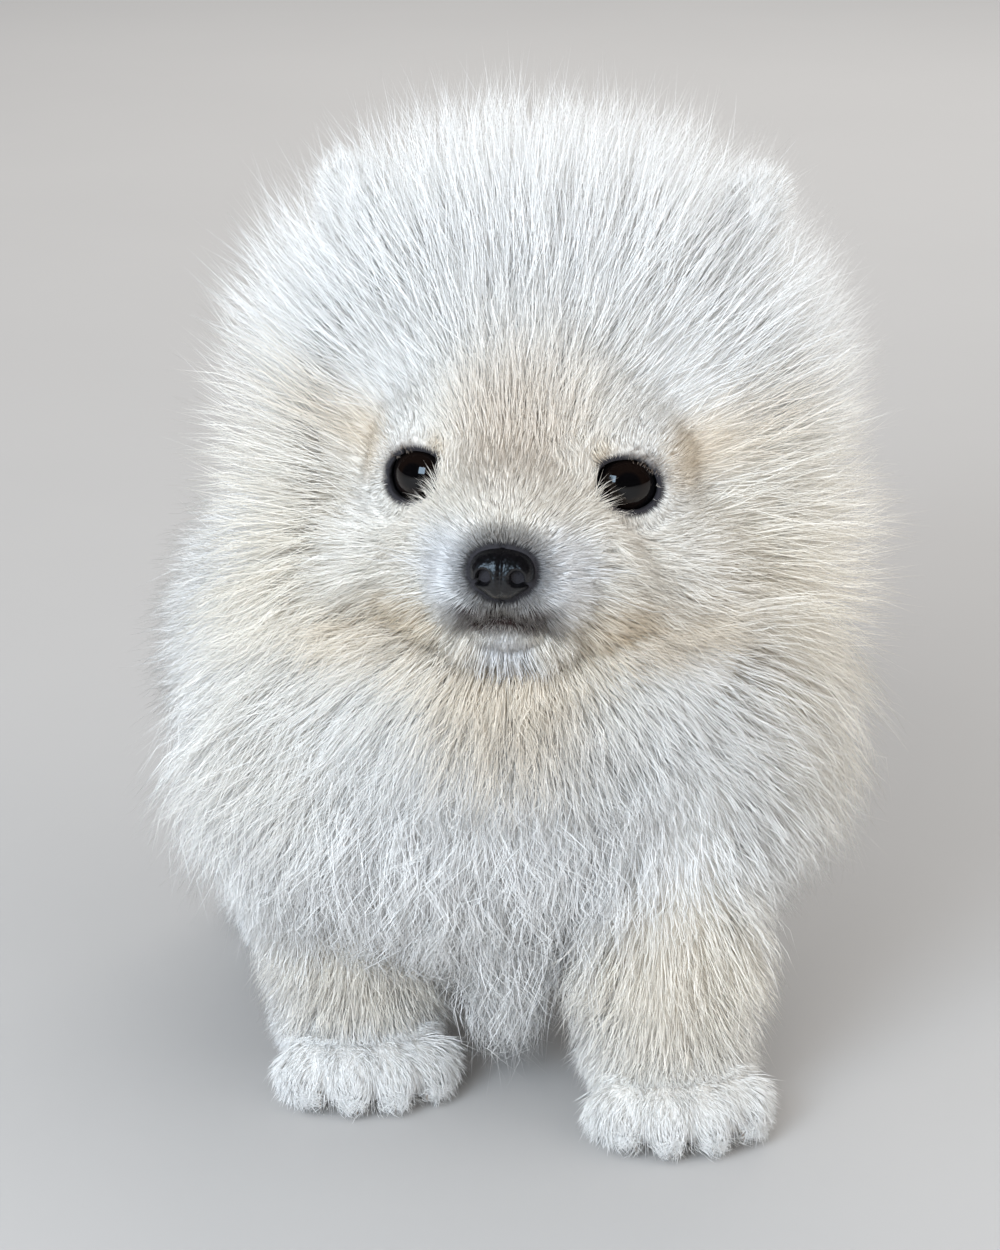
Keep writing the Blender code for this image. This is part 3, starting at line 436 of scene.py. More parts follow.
def mesh_of(name, bm):
    """A mesh from a bmesh, which is freed."""
    mesh = bpy.data.meshes.new(name)
    bm.to_mesh(mesh)
    bm.free()
    return mesh


def add_mesh(name, points, faces):
    """A smooth mesh object of these faces, which all have the same number of corners."""
    mesh = bpy.data.meshes.new(name)
    sides = faces.shape[1]
    mesh.vertices.add(len(points))
    mesh.vertices.foreach_set("co", np.ascontiguousarray(points, np.float32).ravel())
    mesh.loops.add(faces.size)
    mesh.loops.foreach_set("vertex_index", faces.astype(np.int32).ravel())
    mesh.polygons.add(len(faces))
    mesh.polygons.foreach_set("loop_start", np.arange(0, faces.size, sides, dtype=np.int32))
    mesh.polygons.foreach_set("use_smooth", np.ones(len(faces), bool))
    mesh.update(calc_edges=True)
    mesh.validate()
    return placed(name, mesh)


def values_of(items, key, width, kind=np.float32):
    """One value of all the items, as a flat array."""
    out = np.empty(len(items) * width, kind)
    items.foreach_get(key, out)
    return out


def places_of(obj):
    """An object's vertices as an array."""
    return values_of(obj.data.vertices, "co", 3).reshape(-1, 3).astype(float)


def set_places(obj, points):
    """Moves an object's vertices."""
    obj.data.vertices.foreach_set("co", points.astype(np.float32).ravel())
    obj.data.update()


def refine(obj, wanted):
    """Splits the faces whose vertices the test wants, and puts the new ones on the surface."""
    bm = bmesh.new()
    bm.from_mesh(obj.data)
    bm.verts.ensure_lookup_table()
    inside = wanted(places_of(obj))
    edges = [e for e in bm.edges if inside[e.verts[0].index] and inside[e.verts[1].index]]
    bmesh.ops.subdivide_edges(bm, edges=edges, cuts=1, use_grid_fill=True)
    for face in bm.faces:
        face.smooth = True
    bm.to_mesh(obj.data)
    bm.free()


def colour_points(obj, colours):
    """Writes a colour on each vertex."""
    layer = obj.data.attributes.new("coat_colour", "FLOAT_COLOR", "POINT")
    rows = np.column_stack((colours, np.ones(len(colours))))
    layer.data.foreach_set("color", rows.astype(np.float32).ravel())


WHITE = np.array((0.93, 0.92, 0.90))
COOL = np.array((0.87, 0.89, 0.93))
CREAM = np.array((0.92, 0.83, 0.68))
TAN = np.array((0.80, 0.64, 0.43))
BEIGE = np.array((0.78, 0.68, 0.57))
BROWN = np.array((0.100, 0.055, 0.028))
DARK = np.array((0.030, 0.028, 0.032))
LIP = np.array((0.035, 0.018, 0.016))

# In the head's axes, folded, the coat's marks and some painted shade: centre, radius of full strength, radius
# where it ends, colour, strength.
HEAD_MARKS = (
    ((0.000, -0.0260, -0.0100), 0.014, 0.040, CREAM, 0.50),
    ((0.0420, 0.0000, -0.0080), 0.008, 0.030, CREAM, 0.45),
    ((0.000, -0.0290, 0.0060), 0.003, 0.017, BEIGE, 0.65),
    ((0.0150, -0.0238, 0.0060), 0.0012, 0.0042, TAN, 0.50),
    ((0.0120, -0.0240, -0.0040), 0.002, 0.010, BEIGE, 0.45),
    # Painted shade: tan along the crease in the fur that runs back from each eye's outer corner.
    ((0.0280, -0.0140, 0.0060), 0.002, 0.009, TAN, 0.55),
    ((0.0340, -0.0080, 0.0090), 0.002, 0.010, TAN, 0.35),
    # Tan beside the chin: partly the coat's own tan, partly painted shade in the recess there.
    ((0.0150, -0.0280, -0.0220), 0.002, 0.010, TAN, 0.70),
    ((0.0240, -0.0200, -0.0230), 0.002, 0.011, TAN, 0.45),
    ((0.0300, -0.0060, -0.0180), 0.004, 0.022, CREAM, 0.45),
    # Tan under the chin: partly the coat's own tan, partly painted shade below it.
    ((0.0000, -0.0260, -0.0310), 0.004, 0.016, TAN, 0.35),
    ((0.0070, -0.0400, -0.0120), 0.003, 0.010, COOL, 0.70),
    ((0.0000, -0.0360, -0.0240), 0.002, 0.006, COOL, 0.70),
)
# Marks of short dark hair: centre, full radius, end radius, colour, strength.
DARK_MARKS = (
    ((0.0000, -0.0440, -0.0120), 0.0058, 0.0092, DARK, 0.80),
    ((0.0114, -0.0226, 0.0022), 0.0016, 0.0042, BROWN, 0.95),
    ((0.0150, -0.0234, 0.0052), 0.0008, 0.0028, BROWN, 0.80),
)
# How far from the eye's centre its dark rim ends.
EYE_RIM = (0.0076, 0.0089)
# On the body: centre, full radius, end radius, colour, strength.
BODY_MARKS = (
    ((0.0290, -0.0500, 0.0350), 0.006, 0.024, CREAM, 0.60),
    ((-0.0265, -0.0220, 0.0300), 0.004, 0.020, CREAM, 0.55),
    ((0.0450, -0.0200, 0.0850), 0.010, 0.036, CREAM, 0.45),
    ((-0.0400, -0.0300, 0.0850), 0.006, 0.026, CREAM, 0.25),
    ((0.0290, -0.0480, 0.0100), 0.006, 0.022, CREAM, 0.25),
    ((0.0000, 0.0500, 0.0700), 0.020, 0.060, CREAM, 0.25),
)


def marked(colour, p, marks):
    """The colour with each of the marks laid over it."""
    for centre, full, end, tone, strength in marks:
        share = strength * (1 - smooth(span(p, centre), full, end))
        colour = colour + share[:, None] * (tone - colour)
    return colour


def markings_and_painted_shade(p):
    """The coat's colour at points of the skin, with some painted shade in creases and recesses, without and
    with its short dark hair.
    """
    q = mirrored(to_head(p))
    colour = marked(np.tile(WHITE, (len(p), 1)), p, BODY_MARKS)
    colour = marked(colour, q, HEAD_MARKS)
    dark = marked(colour, q, DARK_MARKS)
    line = np.abs(q[:, 2] - mouth_height(q))
    lips = (1 - smooth(line, 0.0014, 0.0031)) * (1 - smooth(q[:, 0], 0.0055, 0.0100)) * (q[:, 1] < -0.028)
    dark += lips[:, None] * (LIP - dark)
    rim = 1 - smooth(span(q, EYE_PLACE), *EYE_RIM)
    rim *= 0.45 + 0.50 * smooth(q[:, 2] - EYE_PLACE[2], -0.003, 0.003)
    dark += rim[:, None] * (BROWN - dark)
    return colour, dark


def material(name, roughness, **sockets):
    """A material and its Principled shader, with sockets set by name."""
    made = bpy.data.materials.new(name)
    made.use_nodes = True
    shader = made.node_tree.nodes["Principled BSDF"]
    shader.inputs["Roughness"].default_value = roughness
    for key, value in sockets.items():
        shader.inputs[key.replace("_", " ")].default_value = value
    return made, shader


def node(made, kind, **values):
    """A shader node with its inputs or properties set."""
    one = made.node_tree.nodes.new(kind)
    for key, value in values.items():
        if key in one.inputs:
            one.inputs[key].default_value = value
        else:
            setattr(one, key, value)
    return one


def wire(made, start, end):
    """Joins two sockets."""
    made.node_tree.links.new(start, end)


def mixed(made, start, end, share, blend="MIX"):
    """A colour mix; each of the three is a socket, a colour or a number."""
    one = node(made, "ShaderNodeMix", data_type="RGBA", blend_type=blend)
    for place, value in ((6, start), (7, end), (0, share)):
        if isinstance(value, bpy.types.NodeSocket):
            wire(made, value, one.inputs[place])
        else:
            one.inputs[place].default_value = value
    return one.outputs[2]


def painted(made, shader, colour, scale, low, high):
    """Gives a shader a colour, or the coat's if there is none, under a soft noise between two tints."""
    if colour is None:
        colour = node(made, "ShaderNodeAttribute", attribute_name="coat_colour").outputs["Color"]
    place = node(made, "ShaderNodeTexCoord")
    noise = node(made, "ShaderNodeTexNoise", Scale=scale, Detail=4.0, Roughness=0.6)
    wire(made, place.outputs["Object"], noise.inputs["Vector"])
    tint = mixed(made, (*low, 1), (*high, 1), noise.outputs["Fac"])
    wire(made, mixed(made, colour, tint, 1.0, "MULTIPLY"), shader.inputs["Base Color"])
    return noise.outputs["Fac"]


def bumped(made, shader, height, strength, distance, invert=False):
    """Gives a shader a bump."""
    bump = node(made, "ShaderNodeBump", Strength=strength, Distance=distance, invert=invert)
    wire(made, height, bump.inputs["Height"])
    wire(made, bump.outputs["Normal"], shader.inputs["Normal"])


def plain_material(name, roughness, specular, *paint):
    """A material that is only a painted colour."""
    made, shader = material(name, roughness, Specular_IOR_Level=specular)
    painted(made, shader, *paint)
    return made


def skin_material():
    """Short undercoat on the skin, darker at the lids and lips."""
    made, shader = material("undercoat", 0.75, Specular_IOR_Level=0.25)
    noise = painted(made, shader, None, 700.0, (0.86, 0.84, 0.82), (1.0, 1.0, 1.0))
    bumped(made, shader, noise, 0.6, 0.0006)
    return made


def nose_material():
    """Black, finely pebbled, wet nose leather."""
    made, shader = material(
        "nose_leather", 0.34, Specular_IOR_Level=0.45, Coat_Weight=0.15, Coat_Roughness=0.12)
    place = node(made, "ShaderNodeTexCoord")
    cells = node(made, "ShaderNodeTexVoronoi", Scale=1500.0)
    wire(made, place.outputs["Object"], cells.inputs["Vector"])
    colour = mixed(made, (0.005, 0.004, 0.005, 1), (0.002, 0.002, 0.002, 1), cells.outputs["Distance"])
    wire(made, colour, shader.inputs["Base Color"])
    bumped(made, shader, cells.outputs["Distance"], 0.45, 0.00025, True)
    return made


# Name, roughness, specular level, colour (none takes the coat's), scale of the noise, its low and high tints.
FUR = ("fur", 0.60, 0.20, None, 900.0, (0.95, 0.95, 0.95), (1.04, 1.04, 1.04))
EYE = ("eye_gloss", 0.03, 0.36, None, 1200.0, (0.6, 0.6, 0.6), (1.3, 1.3, 1.3))
HORN = ("horn", 0.35, 0.5, (0.33, 0.27, 0.22, 1), 900.0, (0.6, 0.6, 0.6), (1.1, 1.1, 1.1))
FLOOR = ("pale_floor", 0.7, 0.2, (0.44, 0.425, 0.41, 1), 6.0, (0.97, 0.97, 0.97), (1.03, 1.03, 1.03))


def model_shift():
    """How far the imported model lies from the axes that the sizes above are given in."""
    low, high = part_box("eye_left")
    return (np.array(low) + np.array(high)) / 2 - from_head(EYE_PLACE)


SHIFT = model_shift()
FACE_MIDDLE = (0.0, -0.028, -0.004)
FINER_FACE = (0.034, 0.027)
SKIN_BOX = ((-0.062, -0.080, -0.006), (0.072, 0.100, 0.186))
SKIN_STEP = 0.0015
NOSE_REACH = 0.0085
NOSE_STEP = 0.00035
CLAW_BACK = 0.0018
CLAW_LENGTH = 0.0040
CLAW_TOP = 0.0046
CLAW_DROP = 0.0030
CLAW_RADIUS = 0.0010
FLESH = [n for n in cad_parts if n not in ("nose", "eye_left", "eye_right")]


def near_face(p, reach):
    """Which points lie near the front of the face."""
    return span(to_head(p), FACE_MIDDLE) < reach


def make_skin():
    """The skin: one closed mesh, finer at the face, with its own unwrap."""
    points, quads = surface_nets(skin_distance, *SKIN_BOX, SKIN_STEP)
    obj = add_mesh("skin", settle(skin_distance, points, 1), quads)
    for size in FINER_FACE:
        refine(obj, lambda p: near_face(p, size))
        points = places_of(obj)
        close = near_face(points, size)
        points[close] = settle(skin_distance, points[close])
        set_places(obj, points)
    bpy.context.view_layer.objects.active = obj
    obj.select_set(True)
    bpy.ops.object.mode_set(mode="EDIT")
    bpy.ops.mesh.select_all(action="SELECT")
    bpy.ops.uv.smart_project(angle_limit=math.radians(66), island_margin=0.003)
    bpy.ops.object.mode_set(mode="OBJECT")
    obj.select_set(False)
    obj.data.uv_layers[0].name = "OFBake"
    return obj


def paint_skin(obj):
    """The skin's marks and painted shade, with dark lids, lips and nostrils' edge."""
    p = places_of(obj)
    q = mirrored(to_head(p))
    _, colour = markings_and_painted_shade(p)
    rim = 1 - smooth(eye_window(q), 0.0006, 0.0019)
    rim *= span(q, EYE_PLACE) < 0.0110
    colour += rim[:, None] * (DARK - colour)
    line = np.abs(q[:, 2] - mouth_height(q))
    lips = (1 - smooth(line, 0.0008, 0.0022)) * (1 - smooth(q[:, 0], 0.0045, 0.0075)) * (q[:, 1] < -0.026)
    colour += lips[:, None] * (LIP - colour)
    under = 1 - smooth(nose_body(q), 0.0004, 0.0020)
    colour += under[:, None] * (DARK - colour)
    colour_points(obj, colour)


def make_nose():
    """The nose pad."""
    middle = from_head(NOSE_PLACE)
    points, quads = surface_nets(nose_distance, middle - NOSE_REACH, middle + NOSE_REACH, NOSE_STEP)
    return add_mesh("nose_pad", settle(nose_distance, points, 2) + SHIFT, quads)


def make_eye(name, sign):
    """An eyeball with a slightly raised cornea, black but for a dark brown iris."""
    across, out, up = eye_axes()
    flip = np.array((sign, 1.0, 1.0))
    bm = bmesh.new()
    bmesh.ops.create_uvsphere(bm, u_segments=64, v_segments=40, radius=1.0)
    mesh = mesh_of(name, bm)
    obj = placed(name, mesh)
    unit = places_of(obj)
    edge = np.arccos(np.clip(unit[:, 2], -1, 1))
    bulge = 1 + 0.020 * np.exp(-((edge / 0.62) ** 2))
    local = unit * (EYE_RADIUS - 0.0001) * bulge[:, None]
    head = EYE_PLACE + local[:, :1] * across + local[:, 1:2] * up + local[:, 2:] * out
    set_places(obj, from_head(head * flip) + SHIFT)
    iris = smooth(edge, 0.30, 0.40) * (1 - smooth(edge, 0.66, 0.74))
    tone = np.array((0.0020, 0.0018, 0.0020)) + iris[:, None] * np.array((0.0040, 0.0018, 0.0008))
    colour_points(obj, tone)
    mesh.polygons.foreach_set("use_smooth", np.ones(len(mesh.polygons), bool))
    if sign < 0:
        mesh.flip_normals()
    return obj


def make_claws(name, feet):
    """Small curved claws at the tips of the toes."""
    rings, sides = 6, 10
    points, faces = [], []
    for foot in feet:
        for across, ahead in TOES:
            tip_y = -ahead - TOE_SHAPE[1][1]
            base = len(points)
            for ring in range(rings):
                share = ring / rings
                back = tip_y + CLAW_BACK - CLAW_LENGTH * share
                height = CLAW_TOP - CLAW_DROP * share * share
                radius = CLAW_RADIUS * (1 - 0.85 * share)
                for side in range(sides):
                    angle = 2 * math.pi * side / sides
                    points.append((
                        foot[0] + across + 0.8 * radius * math.cos(angle),
                        foot[1] + back,
                        height + radius * math.sin(angle),
                    ))
            back = foot[1] + tip_y + CLAW_BACK
            points.append((foot[0] + across, back - CLAW_LENGTH, CLAW_TOP - CLAW_DROP))
            points.append((foot[0] + across, back, CLAW_TOP))
            for ring in range(rings - 1):
                for side in range(sides):
                    one = base + ring * sides + side
                    two = base + ring * sides + (side + 1) % sides
                    faces.append((one, one + sides, two))
                    faces.append((two, one + sides, two + sides))
            last = base + (rings - 1) * sides
            for side in range(sides):
                faces.append((last + side, base + rings * sides, last + (side + 1) % sides))
                faces.append((base + (side + 1) % sides, base + rings * sides + 1, base + side))
    return add_mesh(name, np.array(points) + SHIFT, np.array(faces))


# For each region: lean at the root and at the tip from the skin's normal, degrees;
# longest hair; half thickness; pull of the clumps; curl.
LEAN_ROOT = np.array((28.0, 44.0, 44.0, 32.0, 28.0, 52.0))
LEAN_TIP = np.array((50.0, 74.0, 70.0, 54.0, 62.0, 78.0))
LONGEST = np.array((0.0350, 0.0370, 0.0330, 0.0300, 0.0270, 0.0055))
THICKNESS = np.array((0.000072, 0.000084, 0.00010, 0.00010, 0.000088, 0.000078))
CLUMPING = np.array((0.10, 0.38, 0.26, 0.24, 0.22, 0.10))
CURL = np.array((0.0009, 0.0024, 0.0016, 0.0014, 0.0009, 0.0002))
DENSITY = np.array((1.30, 1.15, 0.80, 0.80, 1.5, 4.0))
FACE_AWAY = (0.006, 0.012, 0.018, 0.026, 0.034, 0.044, 0.054)
ABOVE_LENGTH = (0.0020, 0.0036, 0.0062, 0.0100, 0.0160, 0.0260, 0.0360)
BELOW_LENGTH = (0.0024, 0.0066, 0.0120, 0.0170, 0.0210, 0.0250, 0.0340)
EYE_AWAY = (0.0075, 0.0095, 0.0130, 0.0170, 0.0220, 0.0280)
EYE_LENGTH = (0.0016, 0.0030, 0.0082, 0.0165, 0.0270, 0.0360)
HAIRS = 158000
CLUMPS = 9000
SHORT = 0.0062
UNDER_SHARE = 0.55
WHISKER_BED = (0.0098, -0.0370, -0.0140)
FLOW_FROM = (0.0, -0.0560, -0.0120)
NOSE_FRONT = (0.0, -0.0450, -0.0120)
NOSE_AWAY = (0.0, 0.014, 0.030, 0.050)
NOSE_DENSITY = (9.0, 8.0, 3.2, 0.0)
EYE_SKIN = 0.0120
MOUTH_MIDDLE = (0.0, -0.0405, -0.0196)
MOUTH_REACH = 0.0070
SHORTEST = 0.0012
LOW_LEG_HAIR = 0.0130
BIB_HAIR = 0.0200
HEM_HAIR = 0.0210
EAR_HAIR = 0.0065
HAIR_FROM_EYE = EYE_RADIUS + 0.0005
COAT_REACH = 0.036
UV_PATCH = 0.003


def blended(values, weights):
    """A number for each root, from its regions' numbers."""
    return weights @ values


def region_weights(p):
    """How much each root belongs to each region."""
    d = region_distances(p)
    d[:, 0] = head_distance(p)
    w = np.exp(-(d - d.min(1, keepdims=True)) / 0.003)
    return w / w.sum(1, keepdims=True)


def lies(p, weights):
    """Which way the coat lies at each root."""
    h = to_head(p)
    away = h - np.array(FLOW_FROM)
    away[:, 1] *= 0.12 + 0.43 * smooth(h[:, 2], -0.022, -0.012)
    head = away / norm(away, axis=1, keepdims=True)
    eye = mirrored(h) - EYE_PLACE
    eye[:, 0] *= np.sign(h[:, 0])
    eye_gap = norm(eye, axis=1)
    toward = np.maximum(0, -(head * eye).sum(1) / eye_gap) * (1 - smooth(eye_gap, 0.0150, 0.0230))
    head = head + (toward / eye_gap)[:, None] * eye
    head[:, 2] += 0.6 * toward * np.tanh((h[:, 2] - EYE_PLACE[2] + 0.0030) / 0.003)
    near = (1 - smooth(eye_gap, 0.0085, 0.0125))[:, None]
    head = head * (1 - near) + near * eye / eye_gap[:, None]
    head = head @ HEAD_AXES.T
    x, y, z = p.T / HALF_WIDTH
    one = np.ones(len(p))
    fan = 1 + 4 * smooth(-z, -1.15, -0.80) * smooth(-np.abs(x), -0.30, -0.15)
    hang = 0.4 + 0.6 * smooth(z, 1.20, 1.70)
    ruff = np.column_stack((0.9 * x * fan * hang, (0.25 + y) * hang, -0.9 * one))
    fall = np.clip(1 - y, 0, 1)
    barrel = np.column_stack((0.5 * x, 1 - 0.4 * fall, -0.3 - 0.5 * fall))
    tail = np.column_stack((30 * p[:, 0], 12 * (p[:, 1] - 0.070) - 0.3, 0.3 + 15 * (p[:, 2] - 0.110)))
    leg = np.column_stack((0 * one, 0.15 * one, -one))
    feet = np.array(FORE_FEET + HIND_FEET)
    foot = feet[norm(p[:, None, :2] - feet, axis=2).argmin(1)]
    paw = np.column_stack((p[:, 0] - foot[:, 0], p[:, 1] - foot[:, 1] - 0.008, -0.008 * one))
    total = np.zeros((len(p), 3))
    for column, way in enumerate((head, ruff, barrel, tail, leg, paw)):
        total += weights[:, column:column + 1] * way / norm(way, axis=1, keepdims=True)
    return total


def beyond(p, shape):
    """Above nought where a point is outside the reach of the coat."""
    centre, radii, power = shape
    q = np.abs((p - np.array(centre)) / np.array(radii))
    return (q ** power).sum(-1) ** (1 / power) - 1


def least_beyond(p, shapes):
    """Above nought where a point is outside all of these reaches."""
    return np.minimum.reduce([beyond(p, shape) for shape in shapes])


def reach(p, way, region, limit=COAT_REACH, steps=24):
    """How far from each root the coat's outer surface lies along its way."""
    t = np.linspace(0.001, limit, steps)
    along = p[:, None, :] + t[None, :, None] * way[:, None, :]
    flat = along.reshape(-1, 3)
    kind = np.repeat(region, steps)
    value = np.full(len(flat), 5.0)
    head = kind == 0
    h = to_head(flat[head])
    value[head] = np.minimum(least_beyond(h, (CROWN_TIPS, CHEEK_TIPS)), beyond(flat[head], NECK_TIPS))
    body = (kind == 1) | (kind == 2)
    value[body] = least_beyond(flat[body], (NECK_TIPS, CHEST_TIPS, BIB_TIPS, BARREL_TIPS))
    tail = kind == 3
    value[tail] = beyond(flat[tail], TAIL_TIPS)
    low = kind >= 4
    best = least_beyond(flat[low], (NECK_TIPS, CHEST_TIPS, BARREL_TIPS))
    for feet, shape in ((FORE_FEET, FORELEG_TIPS), (HIND_FEET, HINDLEG_TIPS)):
        for foot in feet:
            best = np.minimum(best, beyond(flat[low] - np.array((*foot, 0.0)), shape))
    value[low] = best
    out = value.reshape(len(p), steps) > 0
    first = np.where(out.any(1) & ~out[:, 0], out.argmax(1), steps - 1)
    return t[first]


def scatter(skin, count):
    """Roots over the skin: points and places on the unwrap."""
    mesh = skin.data
    mesh.calc_loop_triangles()
    corners = values_of(mesh.loop_triangles, "vertices", 3, np.int32)
    loops = values_of(mesh.loop_triangles, "loops", 3, np.int32)
    uv = values_of(mesh.uv_layers["OFBake"].data, "uv", 2)
    p = places_of(skin)[corners].reshape(-1, 3, 3)
    uv = uv.reshape(-1, 2)[loops].reshape(-1, 3, 2)
    middle = p.mean(1)
    area = norm(np.cross(p[:, 1] - p[:, 0], p[:, 2] - p[:, 0]), axis=1) / 2
    weight = area * root_density(middle)
    heap = np.cumsum(weight)
    picks = (np.arange(count) + rng.random(count)) / count * heap[-1]
    index = np.searchsorted(heap, picks).clip(0, len(heap) - 1)
    a, b = rng.random(count), rng.random(count)
    over = a + b > 1
    a[over], b[over] = 1 - a[over], 1 - b[over]
    share = np.column_stack((1 - a - b, a, b))[:, :, None]
    return (p[index] * share).sum(1), (uv[index] * share).sum(1)


def root_density(p):
    """How close the roots stand: closest on the face, none on the lids, under the nose or on the soles."""
    weights = region_weights(p)
    h = to_head(p)
    q = mirrored(h)
    d = blended(DENSITY, weights)
    d = d * (1 + weights[:, 0] * np.interp(span(h, NOSE_FRONT), NOSE_AWAY, NOSE_DENSITY))
    d[ear_distance(q) < 0.0006] *= 2.0
    eye_gap = span(q, EYE_PLACE)
    d[eye_gap < EYE_SKIN] *= 2.0
    d[nose_body(q) < 0.0002] = 0
    d[(eye_window(q) < 0.0003) & (eye_gap < EYE_SKIN)] = 0
    d[eye_gap < EYE_RADIUS + 0.0002] = 0
    d[p[:, 2] < 0.0012] = 0
    return d


def hair_lengths(p, way, weights):
    """How long the hair is at each root: out to the coat's surface, short on the face, ears and paws."""
    h = to_head(p)
    q = mirrored(h)
    region = weights.argmax(1)
    length = np.minimum(reach(p, way, region), blended(LONGEST, weights))
    from_nose = span(h, NOSE_PLACE) + 0.9 * np.maximum(0, -0.0205 - h[:, 2])
    above = np.interp(from_nose, FACE_AWAY, ABOVE_LENGTH)
    below = np.interp(from_nose, FACE_AWAY, BELOW_LENGTH)
    upper = smooth(q[:, 2] - 0.5 * q[:, 0], -0.014, 0.000)
    short = below + upper * (above - below)
    eye_gap = span(q, EYE_PLACE)
    short = np.minimum(short, np.interp(eye_gap, EYE_AWAY, EYE_LENGTH))
    length = np.where(region == 0, np.minimum(length, short), length)
    mouth = span(q, MOUTH_MIDDLE)
    length = np.where(mouth < MOUTH_REACH, np.minimum(length, 0.0014 + 0.32 * mouth), length)
    across, out, up = eye_axes()
    clear = EYE_PLACE + 0.0045 * out + 0.0005 * up
    for share in (1.0, 0.85, 0.7, 0.55, 0.4, 0.25):
        tip = mirrored(to_head(p + way * (length * share)[:, None]))
        length = np.where(span(tip, clear) < 0.0066, length * share * 0.85, length)
    length = np.maximum(length, SHORTEST)
    low = weights[:, 4] * smooth(-p[:, 2], -0.040, -0.020)
    length = np.maximum(length, LOW_LEG_HAIR * low)
    chest = weights[:, 1] > 0.5
    bib = smooth(-ellipsoid(p, BIB_CORE), -0.0020, 0.0) * chest * smooth(-p[:, 2], -0.055, -0.040)
    length = np.maximum(length, BIB_HAIR * bib)
    hem = chest * smooth(-p[:, 2], -0.064, -0.050) * smooth(-p[:, 1], 0.010, 0.025)
    length = np.maximum(length, HEM_HAIR * hem)
    ear = ear_distance(q) < 0.0008
    length[ear] = np.minimum(length[ear], EAR_HAIR)
    return length


def curves(g, index, stations):
    """The middle line of each of these hairs, as (hair, station, 3)."""
    keys = ("p", "n", "lie", "lean0", "lean1", "length", "curl", "phase")
    here, n, lie, lean0, lean1, length, curl, phase = (g[key][index] for key in keys)
    side = np.cross(n, lie)
    out = np.empty((len(index), len(stations), 3))
    last = 0.0
    for k, s in enumerate(stations):
        mid = (s + last) / 2
        angle = lean0 + (lean1 - lean0) * mid
        way = n * np.cos(angle)[:, None] + lie * np.sin(angle)[:, None]
        here = here + way * ((s - last) * length)[:, None]
        wave = curl * s * np.sin(phase + 9.0 * s) * np.minimum(length / 0.012, 1.6)
        sway = curl * s * np.cos(1.7 * phase + 7.0 * s) * 0.6
        out[:, k] = here + side * wave[:, None] + n * sway[:, None]
        last = s
    return out


def keep_out(line, margin=0.0004):
    """Lifts the hairs off the skin and the eyes."""
    count, stops, _ = line.shape
    flat = line[:, 1:].reshape(-1, 3)
    depth = skin_distance(flat)
    low = depth < margin
    if low.any():
        flat[low] += (margin - depth[low])[:, None] * gradient(skin_distance, flat[low])
    for sign in (1, -1):
        eye = from_head(EYE_PLACE * np.array((sign, 1, 1)))
        gap = flat - eye
        size = norm(gap, axis=1)
        low = size < HAIR_FROM_EYE
        flat[low] = eye + gap[low] / size[low][:, None] * HAIR_FROM_EYE
    flat[:, 2] = np.maximum(flat[:, 2], 0.0004)
    line[:, 1:] = flat.reshape(count, stops - 1, 3)
    return line


def strands(line, thick, uv, colours, taper):
    """Closed three-sided hairs round their middle lines: points, triangles, unwrap and colours."""
    count, stops, _ = line.shape
    tangent = np.gradient(line, axis=1)
    tangent /= np.maximum(norm(tangent, axis=2, keepdims=True), 1e-9)
    helper = rng.normal(size=(count, 1, 3))
    u = np.cross(tangent, helper)
    u /= np.maximum(norm(u, axis=2, keepdims=True), 1e-9)
    v = np.cross(tangent, u)
    rings = []
    for corner in range(3):
        angle = 2 * math.pi * corner / 3
        width = thick[:, None, None] * taper[None, :, None]
        rings.append(line + width * (math.cos(angle) * u + math.sin(angle) * v))
    inner = np.stack(rings, 2)[:, 1:-1].reshape(count, -1, 3)
    points = np.concatenate((line[:, :1], inner, line[:, -1:]), 1)
    each = points.shape[1]
    faces = []
    for side in range(3):
        nxt = (side + 1) % 3
        faces.append((0, 1 + nxt, 1 + side))
        for ring in range(stops - 3):
            a, b = 1 + 3 * ring + side, 1 + 3 * ring + nxt
            faces.append((a, b, a + 3))
            faces.append((b, b + 3, a + 3))
        base = 1 + 3 * (stops - 3)
        faces.append((base + side, base + nxt, each - 1))
    faces = np.array(faces)
    triangles = (np.arange(count)[:, None, None] * each + faces).reshape(-1, 3)
    station = np.concatenate(([0], np.repeat(np.arange(1, stops - 1), 3), [stops - 1]))
    corner = np.concatenate(([1], np.tile(np.arange(3), stops - 2), [1]))
    patch = np.column_stack((corner / 2 - 0.5, station / (stops - 1) - 0.5)) * UV_PATCH
    places = uv[:, None, :] + patch
    tones = colours[:, station]
    return points.reshape(-1, 3), triangles, places.reshape(-1, 2), tones.reshape(-1, 3)


def add_coat(name, parts, finish, nodes):
    """One piece of coat from groups of strands."""
    points, triangles, places, tones = zip(*parts)
    bases = np.cumsum([0] + [len(one) for one in points[:-1]])
    triangles = np.concatenate([one + base for one, base in zip(triangles, bases)])
    obj = add_mesh(name, np.concatenate(points) + SHIFT, triangles)
    layer = obj.data.uv_layers.new(name="OFBake")
    layer.data.foreach_set("uv", np.concatenate(places)[triangles.ravel()].astype(np.float32).ravel())
    colour_points(obj, np.concatenate(tones))
    dress(obj, finish, "coat", *nodes)


def hair_colours(p, stations, uneven):
    """The colour of each hair at its stations: its root's marks and painted shade, paler to the tip where
    dark hair has pale ends, a little darker at the root as painted shade deep in the coat, a little uneven.
    """
    colour, dark = markings_and_painted_shade(p)
    s = np.array(stations)[None, :, None]
    fade = smooth(s, 0.35, 1.0) * 0.48
    out = dark[:, None, :] * (1 - fade) + (0.25 * dark + 0.75 * colour)[:, None, :] * fade
    # Painted shade: each hair a little darker towards its root, as it would be deep in the coat.
    out = out * (0.94 + 0.08 * s)
    return np.clip(out * (1 + 0.03 * uneven[:, None, None]), 0.0, 0.96)


